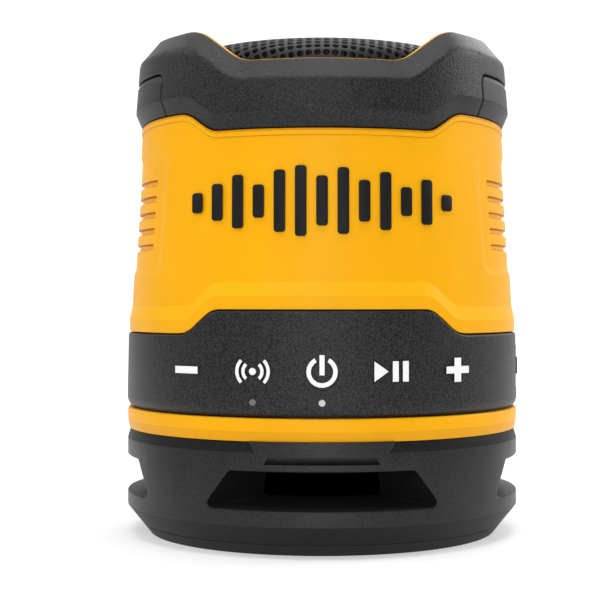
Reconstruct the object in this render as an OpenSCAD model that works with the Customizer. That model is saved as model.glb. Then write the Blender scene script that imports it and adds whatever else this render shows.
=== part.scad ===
// Portable jobsite speaker, in millimetres.
// The origin is the middle of the foot ring on the floor, +Z is up and the keys face -Y.

/* [Stack] */
// height of the rubber foot ring
foot_h = 2.9; // [2.4:0.1:4]
// height of the base above the foot ring
base_h = 25; // [24:0.5:28]
// height of the yellow collar ring
collar_h = 5.6; // [5:0.1:7]
// height of the control band at the sides
band_h = 20; // [19:0.5:23]
// extra height of the band at the front and back
band_rise = 6; // [3:0.5:8]
// height of the yellow wall at the sides
wall_h = 54.5; // [52:0.5:60]
// height of the bumper at the sides
bumper_h = 23.4; // [22.5:0.1:27]

/* [Body] */
// radius of the control band, the widest piece
body_r = 52.5; // [51:0.5:58]
// how far the yellow wall starts inside the band
wall_in = 0.9; // [0.6:0.1:1.5]
// lean of the yellow wall, in degrees
wall_taper = 3.4; // [2:0.1:4]
// thickness of the yellow shell
shell_t = 2.2; // [1.8:0.1:2.8]
// thickness of the inner tub
tub_t = 2.4; // [2:0.1:3]
// width of the shoulder that the bumper stands on
shoulder_w = 3.2; // [2.8:0.1:3.8]
// thickness of the neck inside the bumper
neck_t = 2.5; // [2:0.1:3]

/* [Waves] */
// half width of the low middle of the bumper's top
crown_x0 = 17; // [16:0.5:24]
// half width where the bumper's top has risen
crown_x1 = 33.8; // [28:0.2:36]
// rise of the bumper's top from middle to side
crown_dip = 9; // [5:0.1:10]
// further swell of the bumper's top along the sides
swell_h = 1.9; // [0.5:0.1:2.5]
// direction from the front at which the sides begin to swell, in degrees
swell_from = 50; // [46:1:60]
// how much further out the wave of the shoulder line lies
crest_lag = 2; // [0:0.1:3]
// half width of the low middle of the bumper's lower edge and the high middle of the band
brow_x0 = 25.1; // [20:0.1:28]
// half width where both edges have reached their side level
brow_x1 = 35; // [31:0.5:38]
// drop of the bumper's lower edge in the middle
brow_drop = 5; // [3:0.5:6]
// sag of the bumper's lower edge along the sides
brow_sag = 1.2; // [0:0.1:2]
// share of each wave that is rounding
wave_round = 0.35; // [0.1:0.05:0.5]

/* [Bumper] */
// height from the lower edge to the widest line
flare_h = 4.3; // [3:0.1:5]
// how far the widest line stands out from the yellow wall
flare_out = 1.85; // [1.2:0.05:2.2]
// height of the shoulder line above the lower edge at the sides
crest_h = 16.2; // [14:0.1:17]
// how much lower the shoulder line is in the middle
crest_dip = 9; // [6:0.5:9.5]
// how far the yellow rim stands above the bumper
rim_proud = 0.3; // [0.1:0.05:0.5]
// half length of the side pads
pad_half = 30; // [24:0.5:31]
// height of the side pads
pad_h = 10.8; // [8:0.2:11.5]
// depth of the pocket that each pad sits in
pad_deep = 2; // [1.5:0.1:2.2]
// gap around each pad
pad_gap = 0.35; // [0.2:0.05:0.5]

/* [Grille] */
// spacing of the holes
hole_pitch = 4; // [3.6:0.1:5]
// diameter of the holes
hole_d = 2.7; // [1.6:0.1:2.9]
// radius of the dome
dome_r = 150; // [110:5:200]
// radius of the bend between dome and skirt
knuckle_r = 4; // [3:0.5:6]
// thickness of the sheet
sheet_t = 0.8; // [0.6:0.1:1]
// how far the top of the dome stays below the top of the bumper
dome_low = 1; // [0:0.1:2]

/* [Grip] */
// half length of the grip recess
grip_half = 29; // [24:0.5:31]
// height of the grip recess
grip_h = 30; // [26:0.5:32]
// depth of the grip recess
grip_deep = 0.3; // [0.2:0.05:0.5]
// number of grip grooves on each side
groove_n = 5; // [3:1:6]
// spacing of the grooves
groove_pitch = 4.1; // [3.5:0.1:4.6]
// height of a groove
groove_h = 1.3; // [1:0.1:1.6]
// depth of a groove below the recess
groove_deep = 0.7; // [0.4:0.1:0.9]

/* [Controls] */
// spacing of the keys across the front, as a share of the body's radius
key_share = 0.3162; // [0.3:0.0002:0.32]
// height of the key centres above the lower edge of the band
key_up = 11.2; // [10:0.1:12]
// height of the lights above the lower edge of the band
light_up = 3.8; // [3:0.1:4.5]
// how far the key marks stand out of the band
key_proud = 0.45; // [0.2:0.05:0.8]
// travel of a key
key_travel = 0.8; // [0.4:0.1:1]
// diameter of a light pipe
light_d = 1.6; // [1.2:0.1:2]

/* [Charging] */
// height of the charging socket above the lower edge of the band
usb_up = 10.8; // [10:0.1:11.5]
// length of the rubber cover along the band
cover_l = 20; // [18:0.5:24]
// height of the rubber cover
cover_h = 11; // [10:0.5:12]
// how far the thumb lip stands out
lip_proud = 0.35; // [0.2:0.05:0.8]

/* [Base] */
// height of the lower edge of the sound windows
win_z0 = 11.5; // [11:0.1:12]
// height of the upper edge of the sound windows
win_z1 = 20.8; // [20:0.1:21.5]
// half angle of a window at its lower edge
win_a0 = 31.5; // [26:0.5:34]
// half angle of a window at its upper edge
win_a1 = 26; // [20:0.5:28]
// half width of the inner mouth of a window
win_in = 14.3; // [11:0.1:16]
// radial depth of the sound ducts
duct_l = 10.5; // [9:0.5:11]
// height of the foot's chamfer on the base
hem_h = 4.75; // [3:0.25:6]

/* [Drivers] */
// how far the driver's flange stays inside the neck
driver_in = 3.6; // [3.2:0.1:5]
// travel of the cone each way
cone_travel = 2; // [1:0.5:2.5]
// distance from the band's face to the air opening of the passive radiator
rad_in = 24.5; // [24:0.5:27.5]
// diameter of a battery cell
cell_d = 18.4; // [18:0.1:18.6]
// greatest length of a battery cell
cell_l = 65; // [60:0.5:66]

/* [Clearances] */
// gap between a moving piece and its neighbours
run_gap = 0.3; // [0.2:0.05:0.4]
// gap between fixed pieces that slide together
fit_gap = 0.2; // [0.15:0.05:0.3]
// shadow gap between band and yellow shell
line_gap = 0.3; // [0.2:0.05:0.5]

/* [Hidden] */

// levels of the stack
z_base = foot_h;
z_collar = z_base + base_h;
z_band = z_collar + collar_h;
z_wall = z_band + band_h;
z_cap = z_wall + wall_h;
z_top = z_cap + bumper_h;
// heights of the lower wave steps
skirt_h = 3.2;
skirt_slope = 3.5;
skirt_out = 0.35;
lip_h = 1.8;
lip_out = 0.22;
lip_step = 0.25;
// steps that make up the bumper's section
cap_soft = 0.5;
rim_w = 1;
rim_soft = 0.65;
rim_deep = 1;
neck_slope = 1.6;
seat = 0.05;
cap_seat = 0.15;
// size that is certain to reach past the whole part
far = 200;
smooth = 180;
small = 48;

function clamp01(t) = min(max(t, 0), 1);
// ramp from 0 to 1 with rounded ends
function ease(t, k) = t < k ? t * t / (2 * k * (1 - k))
                    : t > 1 - k ? 1 - (1 - t) * (1 - t) / (2 * k * (1 - k))
                    : (t - k / 2) / (1 - k);
function crown(x) = ease(clamp01((abs(x) - crown_x0) / (crown_x1 - crown_x0)), wave_round);
function brow(x) = ease(clamp01((abs(x) - brow_x0) / (brow_x1 - brow_x0)), wave_round);
function swell(s) = pow(clamp01((asin(min(abs(s), 1)) - swell_from) / (90 - swell_from)), 2);

// radii at a height
wall_r0 = body_r - wall_in;
function wall_r(z) = wall_r0 - (z - z_wall) * tan(wall_taper);
function tub_r(z) = wall_r(z) - shell_t - run_gap;
function tub_in(z) = tub_r(z) - tub_t;
function band_in(z) = tub_r(z) + fit_gap;
band_lean = 0.018;
band_soft = 2.2;
function band_r(z) = body_r - max(z - z_band - band_soft, 0) * band_lean;
key_pitch = body_r * key_share;
neck_r = wall_r(z_cap) - shoulder_w;
neck_in = neck_r - neck_t;
rim_r = neck_in + rim_w;
grille_r = neck_in - fit_gap;

// levels of the wave edges, by the sine s of the direction and the distance x from the middle plane
function z_rim(s) = z_top - crown_dip * (1 - crown(s * rim_r)) - swell_h * (1 - swell(s));
function z_crest(x) = z_cap + crest_h - crest_dip * (1 - crown(max(abs(x) - crest_lag, 0)));
function z_low(s, x) = z_cap - brow_drop * (1 - brow(x)) - brow_sag * swell(s);
function z_hem(x) = z_wall + band_rise * (1 - brow(x));

// seats inside
ledge_low = 2.5;
z_ledge = z_cap - brow_drop - ledge_low;
deck_up = 4;
z_deck = z_cap + deck_up;
deck_t = 3;
seal_t = 0.8;
z_plate = z_band - seal_t;
plate_t = 3.2;

// directions around the body, closer together where the waves run
arc_front = 5;
arc_wave = 3;
arc_side = 6;
wave_from = 21;
wave_to = 54;
arc_q = concat([for (a = [0:arc_front:wave_from - 1]) a],
               [for (a = [wave_from:arc_wave:wave_to - arc_side]) a],
               [for (a = [wave_to:arc_side:90 - arc_side]) a]);
arc_h = concat(arc_q, [90], [for (i = [len(arc_q) - 1:-1:1]) 180 - arc_q[i]]);
arcs = concat(arc_h, [for (a = arc_h) a + 180]);

// closed loft of one section per direction; each section is a loop of radius and height
module loft(loops) {
  n = len(loops);
  m = len(loops[0]);
  pts = [for (i = [0:n - 1]) for (p = loops[i]) [p[0] * sin(arcs[i]), -p[0] * cos(arcs[i]), p[1]]];
  tris = [for (i = [0:n - 1]) for (j = [0:m - 1])
    let (k = (j + 1) % m, next = ((i + 1) % n) * m, a = i * m + j, b = i * m + k, c = next + j, d = next + k)
    each [[a, b, c], [c, b, d]]];
  polyhedron(pts, tris);
}

// rectangle with round corners, centred
module slab2d(w, h, r) {
  square([w - 2 * r, h], center = true);
  square([w, h - 2 * r], center = true);
  for (i = [-1, 1], j = [-1, 1])
    translate([i * (w / 2 - r), j * (h / 2 - r)]) circle(r = r, $fn = small);
}
// extrude a front view shape through the front half
module from_front() {
  rotate([90, 0, 0]) linear_extrude(far) children();
}
// extrude a side view shape through the right half
module from_right() {
  rotate([90, 0, 90]) linear_extrude(far) children();
}
// turn a section of radius and height around the body
module turned() {
  rotate_extrude($fn = smooth) children();
}
// ring between two leaning walls
module wall_ring(z0, z1, in0, in1, out0, out1) {
  turned() polygon([[in0, z0], [out0, z0], [out1, z1], [in1, z1]]);
}
// vertical bore or screw shank
module post(x, y, z0, z1, r) {
  translate([x, y, z0]) cylinder(r = r, h = z1 - z0, $fn = small);
}
// round wire through a list of points, with a slightly fuller ball at each bend
module wire(path, r) {
  bead = 1.1;
  for (i = [0:len(path) - 2]) {
    d = path[i + 1] - path[i];
    l = norm(d);
    translate(path[i]) rotate([0, acos(d[2] / l), atan2(d[1], d[0])]) cylinder(r = r, h = l, $fn = small);
    if (i > 0) translate(path[i]) sphere(r = r * bead, $fn = small);
  }
}
// screws by the radius of the shank, with round heads in proportion to it
screw_r = 1.5;
screw_mid = 1.25;
screw_fine = 1;
bore_gap = 0.05;
head_wide = 1.75;
head_high = 1.2;
// screw that points up from the face its head lies on
module screw_up(x, y, z, grip, r) {
  post(x, y, z - r * head_high, z, r * head_wide);
  post(x, y, z - r * head_high / 2, z + grip, r);
}
// screw that points down from the face its head lies on
module screw_down(x, y, z, grip, r) {
  post(x, y, z, z + r * head_high, r * head_wide);
  post(x, y, z - grip, z + r * head_high / 2, r);
}

// yellow shell from the band to the rim

function housing_loop(a) = let (
  s = sin(a),
  r0 = wall_r0 + skirt_out,
  zh = z_hem(s * r0),
  zi = z_hem(s * (wall_r0 - shell_t)),
  zl = z_low(s, s * wall_r(z_cap)),
  zn = z_low(s, s * neck_r),
  zr = z_rim(s),
  rn = rim_r - seat)
  [[r0, zh],
   [r0, zh + skirt_h],
   [wall_r(zh + skirt_h + skirt_slope), zh + skirt_h + skirt_slope],
   [wall_r(zl - lip_h), zl - lip_h],
   [wall_r(zl - lip_h) + lip_out, zl - lip_h + lip_step],
   [wall_r(zl) + lip_out, zl],
   [neck_r, zn],
   [neck_r, zr - rim_deep - neck_slope],
   [rn, zr - rim_deep],
   [rn, zr + rim_proud],
   [neck_in, zr + rim_proud],
   [neck_in, z_ledge],
   [wall_r(z_ledge) - shell_t, z_ledge],
   [wall_r(zi) - shell_t, zi]];

grip_up = 3.2;
grip_z = z_wall + wall_h / 2 + grip_up;
grip_soft = 3;
module grip_recess() {
  intersection() {
    wall_ring(z_wall, z_cap, wall_r(z_wall) - grip_deep, wall_r(z_cap) - grip_deep, far, far);
    for (m = [0, 1]) mirror([m, 0, 0]) translate([0, 0, grip_z]) from_right()
      slab2d(2 * grip_half, grip_h, grip_soft);
  }
}
groove_short = 3.6;
groove_half = grip_half - groove_short;
groove_up = -0.5;
module grip_grooves() {
  cut = grip_deep + groove_deep;
  intersection() {
    wall_ring(z_wall, z_cap, wall_r(z_wall) - cut, wall_r(z_cap) - cut, far, far);
    for (m = [0, 1], i = [0:groove_n - 1])
      mirror([m, 0, 0]) translate([0, 0, grip_z + groove_up + (i - (groove_n - 1) / 2) * groove_pitch])
        from_right() slab2d(2 * groove_half, groove_h, groove_h / 2 - seat);
  }
}
module housing() {
  color([0.95, 0.62, 0.08]) difference() {
    loft([for (a = arcs) housing_loop(a)]);
    grip_recess();
    grip_grooves();
  }
}

// black bumper around the neck

cap_r = wall_r(z_cap) + flare_out;
cap_edge = 0.15;
cap_low = wall_r(z_cap) + cap_edge;
crest_in = 1;
cap_crest = cap_r - crest_in;
flare_soft = 0.1;
crest_soft = 0.45;
pad_soft = 2.5;
function bumper_loop(a) = let (
  s = sin(a),
  rn = neck_r + seat,
  zr = z_rim(s),
  zn = z_low(s, s * rn) + cap_seat,
  zl = z_low(s, s * cap_low) + cap_seat,
  zw = z_low(s, s * cap_r) + flare_h,
  zc = z_crest(s * cap_crest))
  [[rn, zn],
   [cap_low, zl],
   [cap_r - flare_soft, zw - cap_soft],
   [cap_r, zw],
   [cap_crest, zc],
   [cap_crest - crest_soft, zc + cap_soft],
   [rim_r + rim_soft, zr - cap_soft],
   [rim_r, zr],
   [rim_r, zr - rim_deep],
   [rn, zr - rim_deep - neck_slope]];

module bumper_body() {
  loft([for (a = arcs) bumper_loop(a)]);
}
// side view block of the pads, grown by a gap
module pad_block(g) {
  lead = 10;
  difference() {
    translate([0, 0, z_cap + (pad_h - lead) / 2]) from_right()
      slab2d(2 * (pad_half + g), pad_h + lead + 2 * g, pad_soft);
    cylinder(r = cap_low - pad_deep + pad_gap - g, h = far, $fn = smooth);
  }
}
module top_bumper() {
  color([0.08, 0.08, 0.085]) difference() {
    bumper_body();
    for (m = [0, 1]) mirror([m, 0, 0]) pad_block(pad_gap);
  }
}
module bumper_pad_right() {
  color([0.09, 0.09, 0.095]) intersection() {
    bumper_body();
    pad_block(0);
  }
}
module bumper_pad_left() {
  color([0.09, 0.09, 0.095]) intersection() {
    bumper_body();
    mirror([1, 0, 0]) pad_block(0);
  }
}

// domed grille, a cup of perforated sheet

apex = z_top - dome_low;
dome_z = apex - dome_r;
bend_x = grille_r - knuckle_r;
bend_z = dome_z + sqrt(pow(dome_r - knuckle_r, 2) - bend_x * bend_x);
bend_a = atan2(bend_x, bend_z - dome_z);
module cup2d(o) {
  intersection() {
    translate([0, dome_z]) circle(r = dome_r - o, $fn = smooth);
    translate([0, bend_z]) square([bend_x + knuckle_r * sin(bend_a), dome_r]);
  }
  translate([bend_x, bend_z]) circle(r = knuckle_r - o, $fn = small);
  translate([0, z_deck]) square([grille_r - o, bend_z - z_deck]);
  translate([0, z_deck]) square([bend_x, bend_z - z_deck + (knuckle_r - o) * cos(bend_a)]);
}
module grille() {
  rows = floor(bend_x / hole_pitch);
  color([0.05, 0.05, 0.055]) difference() {
    turned() intersection() {
      difference() {
        cup2d(0);
        cup2d(sheet_t);
      }
      square([far, far]);
    }
    for (i = [-rows:rows], j = [-rows:rows]) {
      s = norm([i, j]) * hole_pitch;
      if (s < bend_x - hole_d / 2)
        translate([0, 0, dome_z]) rotate([0, 0, atan2(j, i)]) rotate([0, s / dome_r * 180 / PI, 0])
          translate([0, 0, dome_r - 3 * sheet_t]) cylinder(d = hole_d, h = 6 * sheet_t, $fn = small);
    }
  }
}

// plain level bars on the front in place of a mark

inlay_h = [5, 9, 13, 8, 15, 17, 12, 16, 10, 14, 7, 11, 4];
inlay_w = 2.8;
inlay_pitch = 5.1;
inlay_out = 0.6;
inlay_soft = 0.8;
inlay_at = 0.587;
module front_inlay() {
  zc = z_wall + wall_h * inlay_at;
  r0 = wall_r(z_wall);
  r1 = wall_r(z_cap);
  n = len(inlay_h);
  color([0.05, 0.05, 0.055]) intersection() {
    wall_ring(z_wall, z_cap, r0, r1, r0 + inlay_out, r1 + inlay_out);
    for (i = [0:n - 1])
      translate([(i - (n - 1) / 2) * inlay_pitch, 0, zc]) from_front()
        slab2d(inlay_w, inlay_h[i], inlay_soft);
  }
}

// control band with its openings

key_z = z_band + key_up;
light_z = z_band + light_up;
usb_z = z_band + usb_up;
hem_steps = 10;
// front view of the space below the wavy top edge
module below_hem() {
  step = (brow_x1 - brow_x0) / hem_steps;
  right = [for (i = [0:hem_steps]) let (x = brow_x0 + i * step) [x, z_hem(x) - line_gap]];
  left = [for (p = right) [-p[0], p[1]]];
  polygon(concat([[-far, 0], [far, 0], [far, z_wall - line_gap]], [for (i = [hem_steps:-1:0]) right[i]],
          left, [[-far, z_wall - line_gap]]));
}
band_tuck = 0.9;
soft_steps = 4;
module band_section() {
  zt = z_wall + band_rise;
  soft = [for (i = [0:soft_steps]) let (a = i * 90 / soft_steps)
    [band_r(z_band) - band_tuck * (1 - sin(a)), z_band + band_soft * (1 - cos(a))]];
  polygon(concat([[band_in(z_band), z_band]], soft, [[band_r(zt), zt], [band_in(zt), zt]]));
}
// front view of the two light pipes, grown by g
module light_shapes(g) {
  for (k = [-1, 0]) translate([k * key_pitch, 0]) circle(d = light_d + g, $fn = small);
}
module key_shapes(g) {
  translate([-2 * key_pitch, 0]) mark_minus(g);
  translate([-key_pitch, 0]) mark_pair(g);
  mark_power(g);
  translate([key_pitch, 0]) mark_play(g);
  translate([2 * key_pitch, 0]) mark_plus(g);
}
module control_band() {
  color([0.09, 0.09, 0.095]) difference() {
    intersection() {
      turned() band_section();
      translate([0, far / 2, 0]) from_front() below_hem();
    }
    translate([0, 0, key_z]) from_front() key_shapes(fit_gap);
    translate([0, 0, light_z]) from_front() light_shapes(fit_gap);
    cover_pocket();
  }
}

// key marks in the front view, each grown by g

mark_t = 1.75;
mark_l = 5.9;
module mark_minus(g) {
  square([mark_l + 2 * g, mark_t + 2 * g], center = true);
}
module mark_plus(g) {
  mark_minus(g);
  square([mark_t + 2 * g, mark_l + 2 * g], center = true);
}
ring_r = 3.7;
ring_t = 1.05;
bar_w = 1.2;
bar_l = 4.8;
ring_gap = 29;
bar_low = 0.8;
// wedge that opens along +X by a half angle
module wedge2d(half, reach) {
  polygon([[0, 0], [reach, -reach * tan(half)], [reach, reach * tan(half)]]);
}
module mark_power(g) {
  translate([0, -ring_low]) difference() {
    circle(r = ring_r + g, $fn = small);
    circle(r = ring_r - ring_t - g, $fn = small);
    translate([0, g / sin(ring_gap)]) rotate(90) wedge2d(ring_gap, 2 * ring_r);
  }
  translate([0, bar_l / 2 - bar_low]) square([bar_w + 2 * g, bar_l + 2 * g], center = true);
}
// dot between pairs of arcs; each arc has two radii and a half angle
dot_r = 0.85;
pair_arcs = [[1.9, 2.7, 48], [3.4, 4.2, 44]];
module mark_pair(g) {
  circle(r = dot_r + g, $fn = small);
  for (m = [0, 1], arc = pair_arcs) mirror([m, 0]) intersection() {
    difference() {
      circle(r = arc[1] + g, $fn = small);
      circle(r = arc[0] - g, $fn = small);
    }
    translate([-g / sin(arc[2]), 0]) wedge2d(arc[2], 2 * arc[1]);
  }
}
tri_x = 4.15;
tri_l = 3.45;
tri_h = 4.9;
pause_x = [1, 3.45];
pause_w = 1.45;
module mark_play(g) {
  translate([-tri_x, 0]) polygon([[-g, -tri_h / 2 - 2 * g], [tri_l + 2 * g, 0], [-g, tri_h / 2 + 2 * g]]);
  for (x = pause_x) translate([x, 0]) square([pause_w + 2 * g, tri_h + 2 * g], center = true);
}

// keys: a mark, a flange behind the band and a stem into its switch

flange_h = 9.8;
flange_t = 1.7;
flange_w = 9.6;
flange_side = 6.8;
flange_soft = 1;
mark_root = 0.5;
stem_r = 1.3;
stem_root = 0.4;
board_in = 24.5;
board_y = body_r - board_in;
stem_in = 0.4;
switch_floor = 0.8;
switch_h = stem_in + key_travel + switch_floor;
switch_w = 4.4;
module key_solid(k, w) {
  x = k * key_pitch;
  z0 = key_z - flange_h / 2;
  z1 = key_z + flange_h / 2;
  f0 = band_in(z0) - run_gap;
  f1 = band_in(z1) - run_gap;
  mid = f1 - flange_t + stem_root;
  color([0.92, 0.92, 0.92]) union() {
    intersection() {
      translate([x, 0, key_z]) from_front() children();
      wall_ring(z0, z1, f0 - mark_root, f1 - mark_root, band_r(z0) + key_proud, band_r(z1) + key_proud);
    }
    intersection() {
      translate([x, 0, key_z]) from_front() slab2d(w, flange_h, flange_soft);
      wall_ring(z0, z1, f0 - flange_t, f1 - flange_t, f0, f1);
    }
    translate([x, -board_y - switch_h + stem_in, key_z]) rotate([90, 0, 0])
      cylinder(r = stem_r, h = sqrt(mid * mid - x * x) - board_y - switch_h + stem_in, $fn = small);
  }
}
module key_minus() {
  key_solid(-2, flange_side) mark_minus(0);
}
module key_pair() {
  key_solid(-1, flange_w) mark_pair(0);
}
module key_power() {
  key_solid(0, flange_w) mark_power(0);
}
module key_play() {
  key_solid(1, flange_w) mark_play(0);
}
module key_plus() {
  key_solid(2, flange_side) mark_plus(0);
}
// space in the tub wall for the flanges
module key_windows() {
  for (k = [-2:2])
    translate([k * key_pitch, 0, key_z]) from_front()
      slab2d((abs(k) == 2 ? flange_side : flange_w) + 2 * run_gap, flange_h + 2 * run_gap, flange_soft);
}

// light pipes from the chips on the key board to the face of the band

chip_t = 0.7;
module light_pipe(x) {
  color([0.75, 0.77, 0.8]) intersection() {
    translate([x, -board_y - chip_t, light_z]) rotate([90, 0, 0]) cylinder(d = light_d, h = far, $fn = small);
    cylinder(r = band_r(light_z), h = far, $fn = smooth);
  }
}
module light_pipe_pair() {
  light_pipe(-key_pitch);
}
module light_pipe_power() {
  light_pipe(0);
}

// rubber cover of the charging socket, hinged on a round bead at its rear end

cover_t = band_r(usb_z) - tub_r(usb_z - cover_h / 2) - fit_gap;
cover_in = band_r(usb_z) - cover_t;
cover_soft = 1.2;
bead_slim = 0.15;
bead_r = cover_t / 2 - bead_slim;
bead_path = band_r(usb_z) - cover_t / 2;
bead_y = cover_l / 2;
bead_x = sqrt(bead_path * bead_path - bead_y * bead_y);
plug_l = 12;
plug_h = 6;
plug_in = 1.2;
plug_soft = 1.5;
swing_gap = 0.85;
lip_l = 5.5;
lip_w = 4.5;
lip_soft = 0.8;
lip_far = 5.5;
lip_at = min(lip_far, bead_y - lip_l / 2);
// side view of the cover, round at its free end and square at the bead, grown by g
module cover_plan(g) {
  slab2d(cover_l + 2 * g, cover_h + 2 * g, cover_soft);
  translate([0, -cover_h / 2 - g]) square([bead_y, cover_h + 2 * g]);
}
module cover_pocket() {
  high = cover_h + 2 * run_gap;
  free = bead_r + swing_gap;
  translate([0, 0, usb_z]) from_right() cover_plan(run_gap);
  translate([bead_x, bead_y, usb_z]) cylinder(r = free, h = high, center = true, $fn = small);
  translate([bead_x, bead_y - free, usb_z - high / 2]) cube([far, 2 * free, high]);
}
module usb_cover() {
  r1 = band_r(usb_z);
  z0 = usb_z - cover_h;
  z1 = usb_z + cover_h;
  color([0.1, 0.1, 0.105]) union() {
    intersection() {
      wall_ring(z0, z1, cover_in, cover_in, r1, r1);
      translate([0, 0, usb_z]) from_right() cover_plan(0);
    }
    translate([bead_x, bead_y, usb_z])
      cylinder(r = bead_r, h = cover_h - 2 * bead_slim, center = true, $fn = small);
    translate([cover_in - plug_in, 0, usb_z]) rotate([90, 0, 90]) linear_extrude(plug_in + cover_t / 2)
      slab2d(plug_l, plug_h, plug_soft);
    intersection() {
      wall_ring(z0, z1, r1 - cover_t / 2, r1 - cover_t / 2, r1 + lip_proud, r1 + lip_proud);
      translate([0, -lip_at, usb_z]) from_right() slab2d(lip_l, lip_w, lip_soft);
    }
  }
}

// sizes of the charging socket, its board and the well around it

well_l = 15;
well_h = 9;
well_deep = 6.6;
well_wall = 1.2;
well_floor = 1;
well_soft = 1.9;
socket_l = 7.3;
socket_w = 8.9;
socket_h = 3.2;
socket_soft = 1.5;
socket_wall = 0.3;
socket_floor = 1;
socket_out = 0.8;
tongue_w = 6.6;
tongue_t = 0.7;
tongue_short = 0.8;
board_t = 1.6;
well_face = sqrt(cover_in * cover_in - well_l * well_l / 4) - run_gap;
socket_x = well_face - well_deep + socket_out;
shelf_z = usb_z - socket_h / 2 - board_t;

// sizes of the battery cradle; the cells are no longer than the room beside the socket

cradle_end = 2;
socket_clear = 1.2;
cradle_x = min(cell_l / 2 + cradle_end, socket_x - socket_l - socket_clear);
cell_run = 2 * (cradle_x - cradle_end);
cradle_side = 2.2;
cradle_y = cell_d + cradle_side;
cradle_soft = 3;
cell_apart = 0.4;
cell_y = cell_d / 2 + cell_apart;
tray_up = 3.6;
tray_floor = 1.4;
tray_over = 2;
tray_z = z_plate + tray_up;
cell_z = tray_z + cell_d / 2 + tray_floor;
tray_top = cell_z + tray_over;
board_over = 3.6;
board_z = cell_z + cell_d / 2 + board_over;
board_top = board_z + board_t;
leg_in = 1;
leg_x = cradle_x - leg_in;
leg_y = 14.5;
leg_r = 2.6;

// collar ring with the plate that closes the chamber

skin_in = 0.1;
base_r = body_r - skin_in;
z_under = z_plate - plate_t;
collar_in = 3.3;
collar_hem = 2.4;
collar_tuck = 0.5;
collar_soft = 0.3;
boss_a = 62;
boss_r = 3.3;
boss_sunk = 0.4;
boss_path = tub_in(z_band) - boss_r + boss_sunk;
boss_h = 16;
boss_blind = 2;
pillar_in = 8.1;
pillar_path = body_r - pillar_in;
pillar_boss = 3.2;
pillar_up = 2;
pillar_bore = 1.5;
pillar_grip = 1.2;
boss_grip = 9.2;
leg_grip = 5;
leg_bore = 5.6;
rad_r = body_r - rad_in;
rad_edge = 5.2;
rad_bolt_in = 2;
rad_bolt = rad_r + rad_edge - rad_bolt_in;
past = 1;
function boss_xy(i) = let (a = [boss_a, 180 - boss_a, 180 + boss_a, 360 - boss_a][i])
  [boss_path * sin(a), -boss_path * cos(a)];
function pillar_xy(i) = [pillar_path * sin(45 + 90 * i), -pillar_path * cos(45 + 90 * i)];
function leg_xy(i) = [[leg_x, leg_y], [-leg_x, leg_y], [-leg_x, -leg_y], [leg_x, -leg_y]][i];
function rad_xy(i) = [rad_bolt * sin(60 * i + 30), -rad_bolt * cos(60 * i + 30)];
// bore for a screw with a little play, between two levels
module bore(xy, z0, z1, r) {
  post(xy[0], xy[1], z0, z1, r + bore_gap);
}
module collar() {
  color([0.95, 0.62, 0.08]) difference() {
    union() {
      turned() polygon([[rad_r, z_under], [base_r - collar_in, z_under], [base_r - collar_in, z_collar],
        [base_r - collar_tuck, z_collar], [base_r, z_collar + collar_hem], [base_r, z_band - collar_soft],
        [base_r - collar_soft, z_band], [band_in(z_band), z_band], [band_in(z_band), z_plate],
        [rad_r, z_plate]]);
      for (i = [0:3]) post(pillar_xy(i)[0], pillar_xy(i)[1], z_under, z_plate + pillar_up, pillar_boss);
    }
    for (i = [0:3]) {
      bore(boss_xy(i), z_under - past, z_plate + past, screw_r);
      bore(leg_xy(i), z_under - past, z_plate + past, screw_r);
      bore(pillar_xy(i), z_under - past, z_plate + pillar_bore, screw_r);
    }
    for (i = [0:5]) bore(rad_xy(i), z_under - past, z_plate + past, screw_fine);
  }
}
module collar_screws() {
  color([0.6, 0.6, 0.62]) for (i = [0:3])
    screw_up(boss_xy(i)[0], boss_xy(i)[1], z_under, z_band + boss_grip - z_under, screw_r);
}
module cradle_screws() {
  color([0.6, 0.6, 0.62]) for (i = [0:3])
    screw_up(leg_xy(i)[0], leg_xy(i)[1], z_under, plate_t + leg_grip, screw_r);
}
seal_in = 0.2;
module tub_seal() {
  color([0.2, 0.2, 0.2]) translate([0, 0, z_plate]) difference() {
    cylinder(r = tub_r(z_band), h = seal_t, $fn = smooth);
    translate([0, 0, -past]) cylinder(r = tub_in(z_band) + seal_in, h = seal_t + 2 * past, $fn = smooth);
  }
}

// base with the four sound windows

duct_r = base_r - duct_l;
floor_rise = 2.5;
floor_z = win_z0 + floor_rise;
roof_drop = 1.3;
roof_z = win_z1 - roof_drop;
roof_t = 2.5;
mouth_lip = 0.6;
pan_z = floor_z - mouth_lip;
floor_t = 2.4;
sill_t = 2.7;
base_t = 2.8;
hem_in = 3.8;
hem_r = base_r - hem_in;
hem_t = 2.4;
rib_in = 1.8;
rib_r = duct_r - rib_in;
strip_h = 2;
strip_in = 0.3;
hood_x = 17.2;
slot_x = 14.2;
slot_lead = 1.6;
slot_low = 3.3;
slot_h = 1.9;
slot_deep = 0.9;
slot_lean = 0.2;
head_up = 4;
head_r = 2.75;
win_soft = 1.5;
win_past = 0.3;
duct_past = 4;
duct_side = 1;
// front view of a window: a trapezoid with round corners, a little taller than the duct
module window_front() {
  z0 = win_z0 - win_past;
  z1 = win_z1 + win_past;
  x0 = base_r * sin(win_a0);
  x1 = base_r * sin(win_a1);
  lean = atan2(x0 - x1, z1 - z0);
  turn = 5;
  xc = x0 - win_soft * (1 / cos(lean) + tan(lean) * sin(lean));
  low = [for (i = [0:turn]) let (a = -90 + (90 + lean) * i / turn)
    [xc + win_soft * cos(a), z0 + win_soft + win_soft * sin(a)]];
  high = [for (i = [0:turn]) let (a = lean + (90 - lean) * i / turn)
    [x1 - win_soft + win_soft * cos(a), z1 - win_soft + win_soft * sin(a)]];
  side = concat(low, high);
  polygon(concat(side, [for (i = [len(side) - 1:-1:0]) [-side[i][0], side[i][1]]]));
}
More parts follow.
